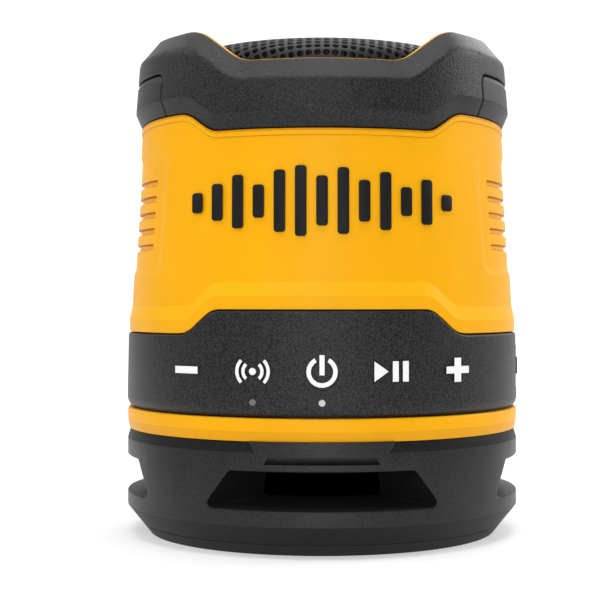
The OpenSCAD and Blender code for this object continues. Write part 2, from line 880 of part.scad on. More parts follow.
// plan view of a duct, closing in from the outer wall to the inner mouth
module window_plan() {
  y0 = sqrt(duct_r * duct_r - win_in * win_in);
  y1 = base_r * cos(win_a0);
  gain = (base_r * sin(win_a0) + duct_side - win_in) / (y1 - y0);
  w0 = win_in - gain * duct_past;
  w1 = win_in + gain * (base_r + duct_past - y0);
  near = duct_past - y0;
  outer = -base_r - duct_past;
  polygon([[-w0, near], [w0, near], [w1, outer], [-w1, outer]]);
}
module sound_window() {
  slope = (floor_z - win_z0) / duct_l;
  roof = (win_z1 - roof_z) / duct_l;
  span = duct_l + 2 * duct_past;
  intersection() {
    turned() polygon([[duct_r - past, floor_z + slope * past], [duct_r + span, floor_z - slope * span],
      [duct_r + span, roof_z + roof * span], [duct_r - past, roof_z - roof * past]]);
    from_front() window_front();
    translate([0, 0, z_base]) linear_extrude(base_h) window_plan();
  }
}
// groove over the front window, with slanted ends
module front_slot() {
  z1 = z_collar - slot_low;
  z0 = z1 - slot_h;
  intersection() {
    turned() polygon([[base_r + past, z1], [base_r - slot_deep, z1 - slot_lean],
      [base_r - skin_in, z0], [base_r + past, z0]]);
    from_front() polygon([[-slot_x, z0 - past], [slot_x, z0 - past],
      [slot_x - slot_lead, z1 + past], [slot_lead - slot_x, z1 + past]]);
  }
}
module base() {
  sill_z = win_z0 - sill_t;
  color([0.08, 0.08, 0.085]) difference() {
    union() {
      turned() polygon([[0, pan_z - floor_t], [rib_r, pan_z - floor_t], [rib_r, z_base],
        [rib_r + hem_t, z_base], [rib_r + hem_t, sill_z], [hem_r - hem_t, sill_z],
        [hem_r - hem_t, z_base], [hem_r, z_base], [base_r, z_base + hem_h], [base_r, z_collar],
        [base_r - base_t, z_collar], [base_r - base_t, win_z1 + roof_t], [duct_r, roof_z + roof_t],
        [duct_r, pan_z], [0, pan_z]]);
      for (i = [0:3]) {
        post(pillar_xy(i)[0], pillar_xy(i)[1], z_base, win_z0, pillar_boss);
        post(pillar_xy(i)[0], pillar_xy(i)[1], win_z1, z_under, pillar_boss);
      }
    }
    for (i = [0:3]) {
      rotate([0, 0, 90 * i]) sound_window();
      bore(pillar_xy(i), z_base - past, far, screw_r);
      post(pillar_xy(i)[0], pillar_xy(i)[1], z_base - past, z_base + head_up, head_r);
    }
    difference() {
      wall_ring(z_collar - strip_h, z_collar + past, base_r - strip_in, base_r - strip_in, far, far);
      translate([0, 0, z_collar]) from_front() square([2 * hood_x, 4 * strip_h], center = true);
    }
    front_slot();
  }
}
module base_screws() {
  z0 = z_base + head_up;
  color([0.6, 0.6, 0.62]) for (i = [0:3])
    screw_up(pillar_xy(i)[0], pillar_xy(i)[1], z0, z_plate + pillar_grip - z0, screw_r);
}
foot_in = 2.3;
module foot_ring() {
  color([0.06, 0.06, 0.06]) turned()
    polygon([[rib_r, 0], [hem_r - foot_in, 0], [hem_r, z_base], [rib_r, z_base]]);
}

// shares of the driver's radius that its pieces take up, and sizes along its axis

driver_r = neck_in - driver_in;
mouth_r = 0.785 * driver_r;
waist_r = 0.615 * driver_r;
cup_r = 0.553 * driver_r;
cone_r = 0.656 * driver_r;
magnet_r = 0.577 * driver_r;
yoke_r = 0.538 * driver_r;
plate_r = 0.513 * driver_r;
pole_r = 0.241 * driver_r;
bolt_in = 3.5;
drv_bolt = driver_r - bolt_in;
function drv_xy(i) = [drv_bolt * sin(45 + 90 * i), -drv_bolt * cos(45 + 90 * i)];
deck_gap = 1;
deck_open = mouth_r + deck_gap;
gasket_t = 0.6;
flange_z = z_deck + gasket_t;
frame_t = 1.6;
frame_top = flange_z + frame_t;
cup_deep = 21.6;
cup_z = z_deck - cup_deep;
plate_h = 4;
magnet_h = 9;
yoke_h = 4;
yoke_z = cup_z - plate_h - magnet_h - yoke_h;
former_gap = 0.45;
former_r = pole_r + former_gap;
former_t = 0.25;
wind_t = 0.7;
wind_r = former_r + wind_t;
wind_gap = 0.4;
gap_out = wind_r + wind_gap;
paper_t = 0.6;

// inner tub: sealed chamber with the driver deck on top

drv_boss_r = 2.8;
drv_boss_h = 5;
drv_blind = 1;
drv_grip = 8;
module inner_tub() {
  r1 = neck_in - fit_gap;
  zi = z_ledge - tub_t;
  zd = z_deck - deck_t;
  color([0.16, 0.16, 0.17]) difference() {
    union() {
      turned() polygon([[tub_in(z_band), z_band], [tub_r(z_band), z_band], [tub_r(z_ledge), z_ledge],
        [r1, z_ledge], [r1, z_deck], [deck_open, z_deck], [deck_open, zd], [r1 - tub_t, zd],
        [r1 - tub_t, zi], [tub_in(zi), zi]]);
      intersection() {
        for (i = [0:3]) post(boss_xy(i)[0], boss_xy(i)[1], z_band, z_band + boss_h, boss_r);
        wall_ring(z_band, z_wall, 0, 0, tub_r(z_band) - tub_t / 2, tub_r(z_wall) - tub_t / 2);
      }
      for (i = [0:3]) post(drv_xy(i)[0], drv_xy(i)[1], zd - drv_boss_h, zd + deck_t / 2, drv_boss_r);
    }
    for (i = [0:3]) {
      bore(boss_xy(i), z_band - past, z_band + boss_h - boss_blind, screw_r);
      bore(drv_xy(i), zd - drv_boss_h + drv_blind, z_deck + past, screw_mid);
    }
    key_windows();
    translate([0, 0, light_z]) from_front() light_shapes(fit_gap);
    translate([0, 0, usb_z]) from_right() slab2d(well_l + fit_gap, well_h + fit_gap, well_soft + fit_gap / 2);
  }
}

// driver, stacked down from the deck

module driver_gasket() {
  color([0.15, 0.15, 0.15]) difference() {
    translate([0, 0, z_deck]) cylinder(r = driver_r, h = gasket_t, $fn = smooth);
    translate([0, 0, z_deck - past]) cylinder(r = deck_open, h = gasket_t + 2 * past, $fn = smooth);
    for (i = [0:3]) bore(drv_xy(i), z_deck - past, flange_z + past, screw_mid);
  }
}
mouth_draft = 0.4;
basket_t = 1.2;
ledge_w = 3;
ledge_t = 1.4;
ledge_up = 6.2;
basket_out = 0.6;
hub_gap = 0.05;
vent_w = 12;
vent_h = 10;
vent_up = 8;
vent_n = 6;
// outer radius of the basket at a height above the cup
function basket_r(up) = let (t = (up - ledge_up) / (flange_z - cup_z - ledge_up))
  (waist_r + ledge_t) * (1 - t) + (mouth_r + basket_out) * t;
module driver_frame() {
  ledge_z = cup_z + ledge_up;
  hub_r = gap_out + hub_gap;
  color([0.2, 0.2, 0.21]) difference() {
    turned() polygon([[driver_r, flange_z], [driver_r, frame_top], [mouth_r, frame_top],
      [mouth_r - mouth_draft, flange_z], [waist_r, ledge_z], [waist_r - ledge_w, ledge_z],
      [waist_r - ledge_w, ledge_z - ledge_t], [waist_r - ledge_t, ledge_z - ledge_t],
      [cup_r - basket_t, cup_z + frame_t], [hub_r, cup_z + frame_t], [hub_r, cup_z], [cup_r, cup_z],
      [basket_r(ledge_up), ledge_z], [basket_r(flange_z - cup_z), flange_z]]);
    for (i = [0:3]) bore(drv_xy(i), flange_z - past, frame_top + past, screw_mid);
    for (i = [0:vent_n - 1]) rotate([0, 0, 360 * i / vent_n])
      translate([0, -vent_w / 2, cup_z + vent_up]) cube([driver_r, vent_w, vent_h]);
  }
}
module driver_top_plate() {
  color([0.55, 0.55, 0.57]) translate([0, 0, cup_z - plate_h]) difference() {
    cylinder(r = plate_r, h = plate_h, $fn = smooth);
    translate([0, 0, -past]) cylinder(r = gap_out, h = plate_h + 2 * past, $fn = smooth);
  }
}
magnet_gap = 1.05;
module driver_magnet() {
  color([0.18, 0.18, 0.19]) translate([0, 0, yoke_z + yoke_h]) difference() {
    cylinder(r = magnet_r, h = magnet_h, $fn = smooth);
    translate([0, 0, -past]) cylinder(r = gap_out + magnet_gap, h = magnet_h + 2 * past, $fn = smooth);
  }
}
module driver_yoke() {
  color([0.55, 0.55, 0.57]) translate([0, 0, yoke_z]) {
    cylinder(r = yoke_r, h = yoke_h, $fn = smooth);
    cylinder(r = pole_r, h = yoke_h + magnet_h + plate_h, $fn = smooth);
  }
}
cone_up = 8;
cone_low = cup_z + cone_up;
cone_top = frame_top - paper_t;
tail_l = 3;
glue_h = 1;
module voice_coil() {
  half = plate_h / 2 + cone_travel;
  mid = cup_z - plate_h / 2;
  out = former_r + former_t;
  top = cone_low + glue_h;
  color([0.72, 0.42, 0.2]) turned() polygon([[former_r, mid - half - tail_l], [out, mid - half - tail_l],
    [out, mid - half], [wind_r, mid - half], [wind_r, mid + half], [out, mid + half], [out, top],
    [former_r, top]]);
}
cone_in = former_r + former_t + seat;
// height of the cone's upper face at a radius
function cone_z(r) = cone_low + 2 * paper_t
  + (r - cone_in) * (cone_top - cone_low - paper_t) / (cone_r - cone_in);
module driver_cone() {
  color([0.1, 0.1, 0.1]) turned() polygon([[cone_in, cone_low], [cone_in + paper_t, cone_low],
    [cone_r + paper_t, cone_top], [cone_r + paper_t, cone_top + paper_t], [cone_r, cone_top + paper_t],
    [cone_in, cone_low + 2 * paper_t]]);
}
dust_out = 2.2;
dust_h = 3.5;
module dust_cap() {
  rim = former_r + dust_out;
  ball = (rim * rim + dust_h * dust_h) / (2 * dust_h);
  z0 = cone_z(rim) + seat;
  color([0.07, 0.07, 0.07]) intersection() {
    translate([0, 0, z0 + dust_h - ball]) difference() {
      sphere(r = ball, $fn = smooth);
      sphere(r = ball - paper_t, $fn = smooth);
    }
    translate([0, 0, z0]) cylinder(r = rim, h = dust_h + past, $fn = smooth);
  }
}
// flat lips joined by a half round roll
module roll_section(r0, r1, lip, z, t) {
  mid = (r0 + r1) / 2;
  rr = (r1 - r0) / 2;
  difference() {
    translate([mid, z]) circle(r = rr, $fn = small);
    translate([mid, z]) circle(r = rr - t, $fn = small);
    translate([mid - rr - past, z - 2 * rr]) square([2 * (rr + past), 2 * rr]);
  }
  translate([r0 - lip, z]) square([lip + t, t]);
  translate([r1 - t, z]) square([lip + t, t]);
}
roll_out = 0.2;
roll_lip = 1.6;
roll_t = 0.5;
module driver_surround() {
  color([0.05, 0.05, 0.05]) turned()
    roll_section(cone_r + paper_t, mouth_r + roll_out, roll_lip, frame_top, roll_t);
}
spider_n = 5;
spider_in = 0.6;
spider_flat = 1;
spider_h = 0.9;
spider_t = 0.4;
module driver_spider() {
  z0 = cup_z + ledge_up;
  r0 = cone_in;
  r1 = waist_r - spider_in;
  step = (r1 - r0 - 2 * spider_flat) / (2 * spider_n);
  up = [for (i = [0:2 * spider_n]) [r0 + spider_flat + i * step, z0 + (i % 2) * spider_h]];
  color([0.75, 0.62, 0.35]) turned() polygon(concat([[r0, z0]], up, [[r1, z0], [r1, z0 + spider_t]],
    [for (i = [2 * spider_n:-1:0]) up[i] + [0, spider_t]], [[r0, z0 + spider_t]]));
}
term_up = 11;
term_x = 3;
term_w = 2;
term_l = 6;
term_t = 0.8;
term_z = cup_z + term_up;
term_y = basket_r(term_up + term_t) + 2 * seat;
module driver_terminals() {
  color([0.8, 0.7, 0.3]) for (m = [-1, 1])
    translate([m * term_x - term_w / 2, term_y, term_z]) cube([term_w, term_l, term_t]);
}
module driver_screws() {
  color([0.15, 0.15, 0.16]) for (i = [0:3])
    screw_down(drv_xy(i)[0], drv_xy(i)[1], frame_top, drv_grip, screw_mid);
}

// passive radiator under the closing plate

rad_frame_t = 2.8;
rad_z = z_under - rad_frame_t;
rad_play = 0.5;
rad_roll = 6.8;
rad_lip = 1.2;
rad_skin = 0.7;
rad_fit = 0.2;
rad_rest = 0.8;
disc_r = rad_r - rad_roll;
disc_t = 2.4;
disc_step = 0.6;
module radiator_frame() {
  color([0.15, 0.15, 0.16]) difference() {
    translate([0, 0, rad_z]) cylinder(r = rad_r + rad_edge, h = rad_frame_t, $fn = smooth);
    translate([0, 0, rad_z - past]) cylinder(r = rad_r, h = rad_frame_t + 2 * past, $fn = smooth);
    for (i = [0:5]) bore(rad_xy(i), rad_z - past, z_under + past, screw_fine);
  }
}
module radiator_surround() {
  color([0.05, 0.05, 0.05]) translate([0, 0, rad_z]) mirror([0, 0, 1])
    turned() roll_section(disc_r + rad_rest, rad_r - rad_fit, rad_lip, 0, rad_skin);
}
module radiator_disc() {
  color([0.25, 0.25, 0.26]) translate([0, 0, rad_z]) {
    cylinder(r = disc_r, h = disc_t, $fn = smooth);
    translate([0, 0, disc_t / 2]) cylinder(r = disc_r * disc_step, h = disc_t, $fn = smooth);
  }
}
module radiator_screws() {
  color([0.6, 0.6, 0.62]) for (i = [0:5])
    screw_up(rad_xy(i)[0], rad_xy(i)[1], rad_z, rad_frame_t + plate_t - rad_play, screw_fine);
}

// battery cells in their cradle

nub_r = 3;
nub_h = 1.5;
post_x = 24;
post_out = 2;
post_y = cradle_y + post_out;
post_r = 2.3;
post_grip = 4.4;
post_bore = 6;
brace_x = 25;
brace_w = 4;
brace_up = 2;
shelf_w = 12;
shelf_t = 2;
shelf_short = 2;
function post_xy(i) = [[post_x, post_y], [-post_x, post_y], [-post_x, -post_y], [post_x, -post_y]][i];
module battery_cells() {
  color([0.15, 0.35, 0.6]) for (m = [-1, 1])
    translate([-cell_run / 2, m * cell_y, cell_z]) rotate([0, 90, 0]) {
      cylinder(d = cell_d, h = cell_run - nub_h, $fn = smooth);
      cylinder(r = nub_r, h = cell_run, $fn = small);
    }
}
module battery_cradle() {
  brace = board_y - board_t - cradle_y;
  brace_z = tray_z + brace_up;
  color([0.85, 0.85, 0.83]) difference() {
    union() {
      translate([0, 0, tray_z]) linear_extrude(tray_top - tray_z)
        slab2d(2 * cradle_x, 2 * cradle_y, cradle_soft);
      for (i = [0:3]) {
        post(leg_xy(i)[0], leg_xy(i)[1], z_plate, tray_top - past, leg_r);
        post(post_xy(i)[0], post_xy(i)[1], tray_z, board_z, post_r);
      }
      for (m = [-1, 1]) translate([m * brace_x - brace_w / 2, -cradle_y - brace, brace_z])
        cube([brace_w, brace + past, tray_top - brace_z]);
      translate([cradle_x - past, -shelf_w / 2, shelf_z - shelf_t])
        cube([socket_x - cradle_x - shelf_short + past, shelf_w, shelf_t]);
    }
    for (m = [-1, 1]) translate([0, m * cell_y, cell_z]) rotate([0, 90, 0])
      cylinder(d = cell_d + 2 * fit_gap, h = cell_run + 2 * fit_gap, center = true, $fn = smooth);
    for (i = [0:3]) {
      bore(leg_xy(i), z_plate - past, z_plate + leg_bore, screw_r);
      bore(post_xy(i), board_z - post_bore, board_z + past, screw_fine);
    }
  }
}

// main board and what stands on it

board_r = 38;
notch_r = 14;
notch_x = board_r + 10;
radio_at = [-22, -8];
radio_size = [13, 17, 2.4];
amp_at = [4, -5];
amp_size = [9, 9, 1.2];
can_x = 19;
can_pitch = 9;
can_r = 3.1;
can_most = 7;
can_clear = 3;
can_h = min(can_most, yoke_z - board_top - can_clear);
module main_board() {
  color([0.05, 0.3, 0.15]) difference() {
    translate([0, 0, board_z]) cylinder(r = board_r, h = board_t, $fn = smooth);
    for (m = [-1, 1]) post(m * notch_x, 0, board_z - past, board_top + past, notch_r);
    for (i = [0:3]) bore(post_xy(i), board_z - past, board_top + past, screw_fine);
  }
}
module radio_module() {
  color([0.75, 0.75, 0.77]) translate([radio_at[0], radio_at[1], board_top]) cube(radio_size);
}
module amplifier_chip() {
  color([0.1, 0.1, 0.11]) translate([amp_at[0], amp_at[1], board_top]) cube(amp_size);
}
module capacitors() {
  color([0.15, 0.15, 0.2]) for (i = [-1:1]) post(can_x, i * can_pitch, board_top, board_top + can_h, can_r);
}
module board_screws() {
  color([0.6, 0.6, 0.62]) for (i = [0:3])
    screw_down(post_xy(i)[0], post_xy(i)[1], board_top, board_t + post_grip, screw_fine);
}

// key board with its switches and light chips

strip_end = 0.3;
strip_under = 1.8;
board_half = 2 * key_pitch + switch_w / 2 + strip_end;
chip_w = 1.6;
well_back = 0.3;
module key_board() {
  z0 = light_z - strip_under;
  z1 = key_z + flange_h / 2;
  color([0.05, 0.3, 0.15]) translate([-board_half, -board_y, z0]) cube([2 * board_half, board_t, z1 - z0]);
}
module key_switches() {
  color([0.3, 0.3, 0.32]) for (k = [-2:2]) translate([k * key_pitch, -board_y, key_z]) difference() {
    translate([-switch_w / 2, -switch_h, -switch_w / 2]) cube([switch_w, switch_h, switch_w]);
    translate([0, -well_back, 0]) rotate([90, 0, 0])
      cylinder(r = stem_r + fit_gap, h = switch_h, $fn = small);
  }
}
module light_chips() {
  color([0.9, 0.9, 0.8]) for (k = [-1, 0])
    translate([k * key_pitch - chip_w / 2, -board_y - chip_t, light_z - chip_w / 2])
      cube([chip_w, chip_t, chip_w]);
}

// charging socket on its own board behind the cover

usb_start = 0.4;
usb_short = 1.2;
usb_w = 14;
module usb_board() {
  x0 = cradle_x + usb_start;
  color([0.05, 0.3, 0.15]) translate([x0, -usb_w / 2, shelf_z])
    cube([socket_x - usb_short - x0, usb_w, board_t]);
}
module usb_socket() {
  inner = socket_soft - socket_wall;
  color([0.75, 0.75, 0.77]) translate([socket_x - socket_l, 0, usb_z]) rotate([90, 0, 90]) difference() {
    linear_extrude(socket_l) slab2d(socket_w, socket_h, socket_soft);
    difference() {
      translate([0, 0, socket_floor]) linear_extrude(socket_l)
        slab2d(socket_w - 2 * socket_wall, socket_h - 2 * socket_wall, inner);
      linear_extrude(socket_l - tongue_short) square([tongue_w, tongue_t], center = true);
    }
  }
}
module usb_well() {
  inner = well_soft - well_wall / 2;
  color([0.12, 0.12, 0.12]) translate([well_face - well_deep, 0, usb_z]) rotate([90, 0, 90]) difference() {
    linear_extrude(well_deep) slab2d(well_l, well_h, well_soft);
    translate([0, 0, well_floor]) linear_extrude(well_deep)
      slab2d(well_l - 2 * well_wall, well_h - 2 * well_wall, inner);
    translate([0, 0, -past]) linear_extrude(well_deep)
      slab2d(socket_w + fit_gap, socket_h + fit_gap, socket_soft + fit_gap / 4);
  }
}

// leads, each soldered square to the faces it joins

lead_r = 0.6;
lead_x = 5;
tab_in = 5;
sag_z = 8;
rise_z = 12;
foot_z = 2;
module speaker_leads() {
  y0 = term_y + tab_in;
  color([0.6, 0.1, 0.1]) for (m = [-1, 1])
    wire([[m * term_x, y0, term_z], [m * term_x, y0, term_z - sag_z],
          [m * lead_x, term_y + foot_z, board_top + rise_z], [m * lead_x, term_y, board_top + foot_z],
          [m * lead_x, term_y, board_top + seat]], lead_r);
}
tap_up = 4;
tap_out = 2.2;
bend_low = 3;
pad_low = 1.6;
pad_in = 3.5;
module battery_leads() {
  x0 = -cell_run / 2;
  x1 = -cradle_x - tap_out;
  color([0.6, 0.1, 0.1]) for (m = [-1, 1]) let (y = m * cell_y)
    wire([[x0 - seat, y, cell_z + tap_up], [x1, y, cell_z + tap_up], [x1, y, board_z - bend_low],
          [x0 + pad_in, y, board_z - pad_low], [x0 + pad_in, y, board_z - seat]], lead_r);
}

housing();
top_bumper();
bumper_pad_left();
bumper_pad_right();
grille();
front_inlay();
control_band();
key_minus();
key_pair();
key_power();
key_play();
key_plus();
light_pipe_pair();
light_pipe_power();
usb_cover();
collar();
base();
foot_ring();
inner_tub();
tub_seal();
driver_frame();
driver_gasket();
driver_top_plate();
driver_magnet();
driver_yoke();
driver_spider();
voice_coil();
driver_cone();
dust_cap();
driver_surround();
driver_terminals();
driver_screws();
radiator_frame();
radiator_surround();
radiator_disc();
radiator_screws();
battery_cells();
battery_cradle();
cradle_screws();
main_board();
radio_module();
amplifier_chip();
capacitors();
board_screws();
key_board();
key_switches();
light_chips();
usb_board();
usb_socket();
usb_well();
speaker_leads();
battery_leads();
collar_screws();
base_screws();
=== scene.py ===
"""Looks of a portable jobsite speaker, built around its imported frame.

Lengths are in millimetres until a mesh is made. Directions round the body are in degrees from the front,
and a section is a list of radius and height.
"""

import math

import bmesh
import bpy
import numpy as np
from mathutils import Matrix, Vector


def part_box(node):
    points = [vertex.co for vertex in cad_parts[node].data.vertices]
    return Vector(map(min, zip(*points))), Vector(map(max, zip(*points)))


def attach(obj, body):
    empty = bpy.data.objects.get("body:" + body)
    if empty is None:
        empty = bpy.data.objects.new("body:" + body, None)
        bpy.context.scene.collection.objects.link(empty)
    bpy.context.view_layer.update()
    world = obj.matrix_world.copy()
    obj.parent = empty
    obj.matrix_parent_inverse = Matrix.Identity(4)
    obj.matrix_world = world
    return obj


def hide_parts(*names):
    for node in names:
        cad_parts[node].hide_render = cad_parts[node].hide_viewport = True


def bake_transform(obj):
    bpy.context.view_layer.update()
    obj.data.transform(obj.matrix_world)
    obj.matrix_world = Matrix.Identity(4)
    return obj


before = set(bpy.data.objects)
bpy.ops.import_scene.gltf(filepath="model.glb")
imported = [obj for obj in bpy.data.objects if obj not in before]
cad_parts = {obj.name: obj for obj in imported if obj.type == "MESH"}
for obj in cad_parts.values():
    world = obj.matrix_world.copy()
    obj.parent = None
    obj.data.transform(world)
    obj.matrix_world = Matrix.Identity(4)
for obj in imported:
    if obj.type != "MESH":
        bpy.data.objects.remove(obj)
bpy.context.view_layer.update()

MM = 0.001


def low(node):
    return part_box(node)[0] / MM


def high(node):
    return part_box(node)[1] / MM


# Levels and radii of the stack, read from the frame
SEAT = 0.05
Z_BASE = high("foot_ring").z
Z_COLLAR = low("collar").z
Z_BAND = low("control_band").z
Z_WALL = low("housing").z
Z_TOP = high("top_bumper").z
CAP_H = 23.4
Z_CAP = Z_TOP - CAP_H
Z_DECK = low("grille").z
BODY_R = high("control_band").y

# Wall of the housing and what stands inside it
WALL_IN = 0.9
WALL_LEAN = 3.4
WALL_TAPER = math.tan(math.radians(WALL_LEAN))
SHELL_T = 2.2
SHOULDER_W = 3.2
NECK_T = 2.5
RUN_GAP = 0.3
FIT_GAP = 0.2
LINE_GAP = 0.3
BAND_LEAN = 0.018
BAND_SOFT = (1.5, 3.0)
LEDGE_DROP = 7.5
Z_LEDGE = Z_CAP - LEDGE_DROP
RIM_LAP = 1.0


def wall_r(z):
    return BODY_R - WALL_IN - (z - Z_WALL) * WALL_TAPER


def band_r(z):
    return BODY_R - np.maximum(z - Z_BAND - BAND_SOFT[1], 0) * BAND_LEAN


def band_in(z):
    return wall_r(z) - SHELL_T - RUN_GAP + FIT_GAP


NECK_R = wall_r(Z_CAP) - SHOULDER_W
NECK_IN = NECK_R - NECK_T
RIM_R = NECK_IN + RIM_LAP
GRILLE_R = NECK_IN - FIT_GAP

# Waves of the edges, by the sine of the direction
CROWN = (17.0, 33.8)
CREST = (19.0, 35.8)
BROW = (25.1, 35.0)
CROWN_DIP = 9.0
CREST_H = 16.2
CREST_DIP = 9.0
BROW_DROP = 5.0
BROW_SAG = 1.2
BAND_RISE = 6.0
WAVE_ROUND = 0.35
SWELL_H = 1.9
SWELL_FROM = 50.0
SWELL_BEND = 0.8


def ease(t):
    """Ramp from 0 to 1 with rounded ends."""
    t = np.clip(t, 0, 1)
    k = WAVE_ROUND
    bend = 2 * k * (1 - k)
    return np.where(t < k, t * t / bend, np.where(t > 1 - k, 1 - (1 - t) ** 2 / bend, (t - k / 2) / (1 - k)))


def wave(x, ends):
    return float(ease((abs(x) - ends[0]) / (ends[1] - ends[0])))


def swell(s):
    """0 at the front and back, growing to a round top at the middle of the sides."""
    turn = math.degrees(math.asin(min(abs(s), 1)))
    t = max((turn - SWELL_FROM) / (90 - SWELL_FROM), 0)
    past = max(t - SWELL_BEND, 0)
    return min(t, SWELL_BEND) ** 2 + 2 * SWELL_BEND * past - SWELL_BEND / (1 - SWELL_BEND) * past**2


def z_rim(s):
    return Z_TOP - CROWN_DIP * (1 - wave(s * RIM_R, CROWN)) - SWELL_H * (1 - swell(s))


def z_crest(s):
    return Z_CAP + CREST_H - CREST_DIP * (1 - wave(s * CAP_CREST, CREST))


def z_low(s, r):
    return Z_CAP - BROW_DROP * (1 - wave(s * r, BROW)) - BROW_SAG * swell(s)


def z_hem(s, r):
    return Z_WALL + BAND_RISE * (1 - wave(s * r, BROW))


# Mesh helpers

ARC_STEPS = 5
MOST_CUT = 0.48
WELD = 1e-4
HAIR = 1e-6
SHARP = math.radians(38)
SOFT_STEPS = 2


def rounded(corners, closed=True):
    """Section through (radius, height, rounding) corners, with the roundings as short curves."""
    points = np.array([c[:2] for c in corners], float)
    out = []
    for i, (p, corner) in enumerate(zip(points, corners)):
        inner = closed or 0 < i < len(corners) - 1
        if corner[2] == 0 or not inner:
            out.append(p)
            continue
        back, on = points[i - 1] - p, points[(i + 1) % len(points)] - p
        lb, lo = np.linalg.norm(back), np.linalg.norm(on)
        half = math.acos(np.clip(back @ on / lb / lo, -1, 1)) / 2
        cut = min(corner[2] / math.tan(half), MOST_CUT * lb, MOST_CUT * lo)
        start, end = p + back / lb * cut, p + on / lo * cut
        for t in np.linspace(0, 1, ARC_STEPS + 1):
            out.append((1 - t) ** 2 * start + 2 * t * (1 - t) * p + t * t * end)
    return np.array(out)


def round_body(directions, sections):
    """Points of sections that stand in the given directions."""
    a = np.radians(np.asarray(directions, float))[:, None]
    r, z = sections[..., 0], sections[..., 1]
    return np.stack((r * np.sin(a), -r * np.cos(a), z), axis=-1)


def quads(points, wrap_u=True, wrap_v=True):
    """Vertices and faces of a grid of points, joined end to start where it wraps."""
    n, m = points.shape[:2]
    index = np.arange(n * m).reshape(n, m)
    i = np.arange(n if wrap_u else n - 1)
    j = np.arange(m if wrap_v else m - 1)
    a = index[np.ix_(i, j)]
    b = index[np.ix_((i + 1) % n, j)]
    c = index[np.ix_((i + 1) % n, (j + 1) % m)]
    d = index[np.ix_(i, (j + 1) % m)]
    faces = np.stack((a, b, c, d), axis=-1).reshape(-1, 4)
    return points.reshape(-1, 3), faces.tolist()


def capped(points):
    """A closed tube of loops, with a face at each end."""
    verts, faces = quads(points, wrap_u=False)
    n, m = points.shape[:2]
    faces.append(list(range(m)))
    faces.append(list(range(n * m - 1, (n - 1) * m - 1, -1)))
    return verts, faces


def joined(parts):
    """Several vertex and face lists as one."""
    verts, faces = [], []
    for v, f in parts:
        faces += [[k + len(verts) for k in face] for face in f]
        verts += [tuple(p) for p in v]
    return np.array(verts, float), faces


def solid(name, verts, faces):
    """A mesh object with clean faces that look outwards."""
    mesh = bpy.data.meshes.new(name)
    mesh.from_pydata((np.asarray(verts, float) * MM).tolist(), [], faces)
    bm = bmesh.new()
    bm.from_mesh(mesh)
    bmesh.ops.remove_doubles(bm, verts=bm.verts, dist=WELD * MM)
    bmesh.ops.dissolve_degenerate(bm, edges=bm.edges, dist=WELD * MM)
    loose = [e for e in bm.edges if not e.link_faces]
    bmesh.ops.delete(bm, geom=loose, context="EDGES")
    bmesh.ops.recalc_face_normals(bm, faces=bm.faces)
    if bm.calc_volume(signed=True) < 0:
        bmesh.ops.reverse_faces(bm, faces=bm.faces)
    bm.to_mesh(mesh)
    bm.free()
    obj = bpy.data.objects.new(name, mesh)
    bpy.context.scene.collection.objects.link(obj)
    return obj


def turned(name, section, step):
    """A section turned all round."""
    turns = np.arange(0, 360, step)
    return solid(name, *quads(round_body(turns, np.repeat(section[None], len(turns), axis=0))))


def smooth(obj):
    obj.data.shade_smooth()
    obj.data.set_sharp_from_angle(angle=SHARP)


def carve(obj, verts, faces):
    """Cuts a solid out of an object."""
    cutter = solid("cutter", verts, faces)
    cut = obj.modifiers.new("cut", "BOOLEAN")
    cut.operation = "DIFFERENCE"
    cut.solver = "EXACT"
    cut.object = cutter
    graph = bpy.context.evaluated_depsgraph_get()
    mesh = bpy.data.meshes.new_from_object(obj.evaluated_get(graph))
    obj.modifiers.clear()
    obj.data = mesh
    bpy.data.objects.remove(cutter)


def soften(obj, width):
    """Rounds the sharp edges of an object."""
    bevel = obj.modifiers.new("soft edges", "BEVEL")
    bevel.width = width * MM
    bevel.segments = SOFT_STEPS
    bevel.limit_method = "ANGLE"
    bevel.angle_limit = SHARP


def coat(obj, look):
    obj.data.materials.clear()
    obj.data.materials.append(look)


def placed(obj, look, node):
    """Gives a piece of the main body its material, hangs it on the body and hides the frame node it
    replaces.
    """
    coat(obj, look)
    smooth(obj)
    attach(obj, "body")
    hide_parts(node)
    return obj


def second_look(obj, look, chosen):
    """Gives another material to faces picked by their centre and their normal's rise."""
    obj.data.materials.append(look)
    for face in obj.data.polygons:
        if chosen(*(face.center / MM), face.normal.z):
            face.material_index = len(obj.data.materials) - 1


def every(step, *fine):
    """Directions all round, with closer ones in the (start, end, step) stretches."""
    kept = [a for a in np.arange(0, 360, step) if not any(s <= a <= e for s, e, _ in fine)]
    for start, end, gap in fine:
        kept += list(np.linspace(start, end, round((end - start) / gap) + 1))
    return np.array(sorted(kept))


def mirrored(start, end, gap):
    """A stretch of directions on the right, and its twins behind and on the left."""
    return ((start, end, gap), (180 - end, 180 - start, gap),
            (180 + start, 180 + end, gap), (360 - end, 360 - start, gap))


def box_distance(u, v, half_u, half_v, corner):
    """Distance to a rectangle with round corners, negative inside it."""
    qu = abs(u) - half_u + corner
    qv = abs(v) - half_v + corner
    outside = np.hypot(np.maximum(qu, 0), np.maximum(qv, 0))
    return outside + np.minimum(np.maximum(qu, qv), 0) - corner


def inside(distance, soft):
    """1 well inside an outline, 0 well outside it, with a soft step between."""
    t = np.clip(0.5 - distance / soft, 0, 1)
    return t * t * (3 - 2 * t)


def fillet(distance, radius):
    """How far a rounded edge lies below its face at a distance from the edge."""
    t = np.clip(distance, 0, radius)
    return radius - np.sqrt(np.maximum(radius**2 - (radius - t) ** 2, 0))


# Materials

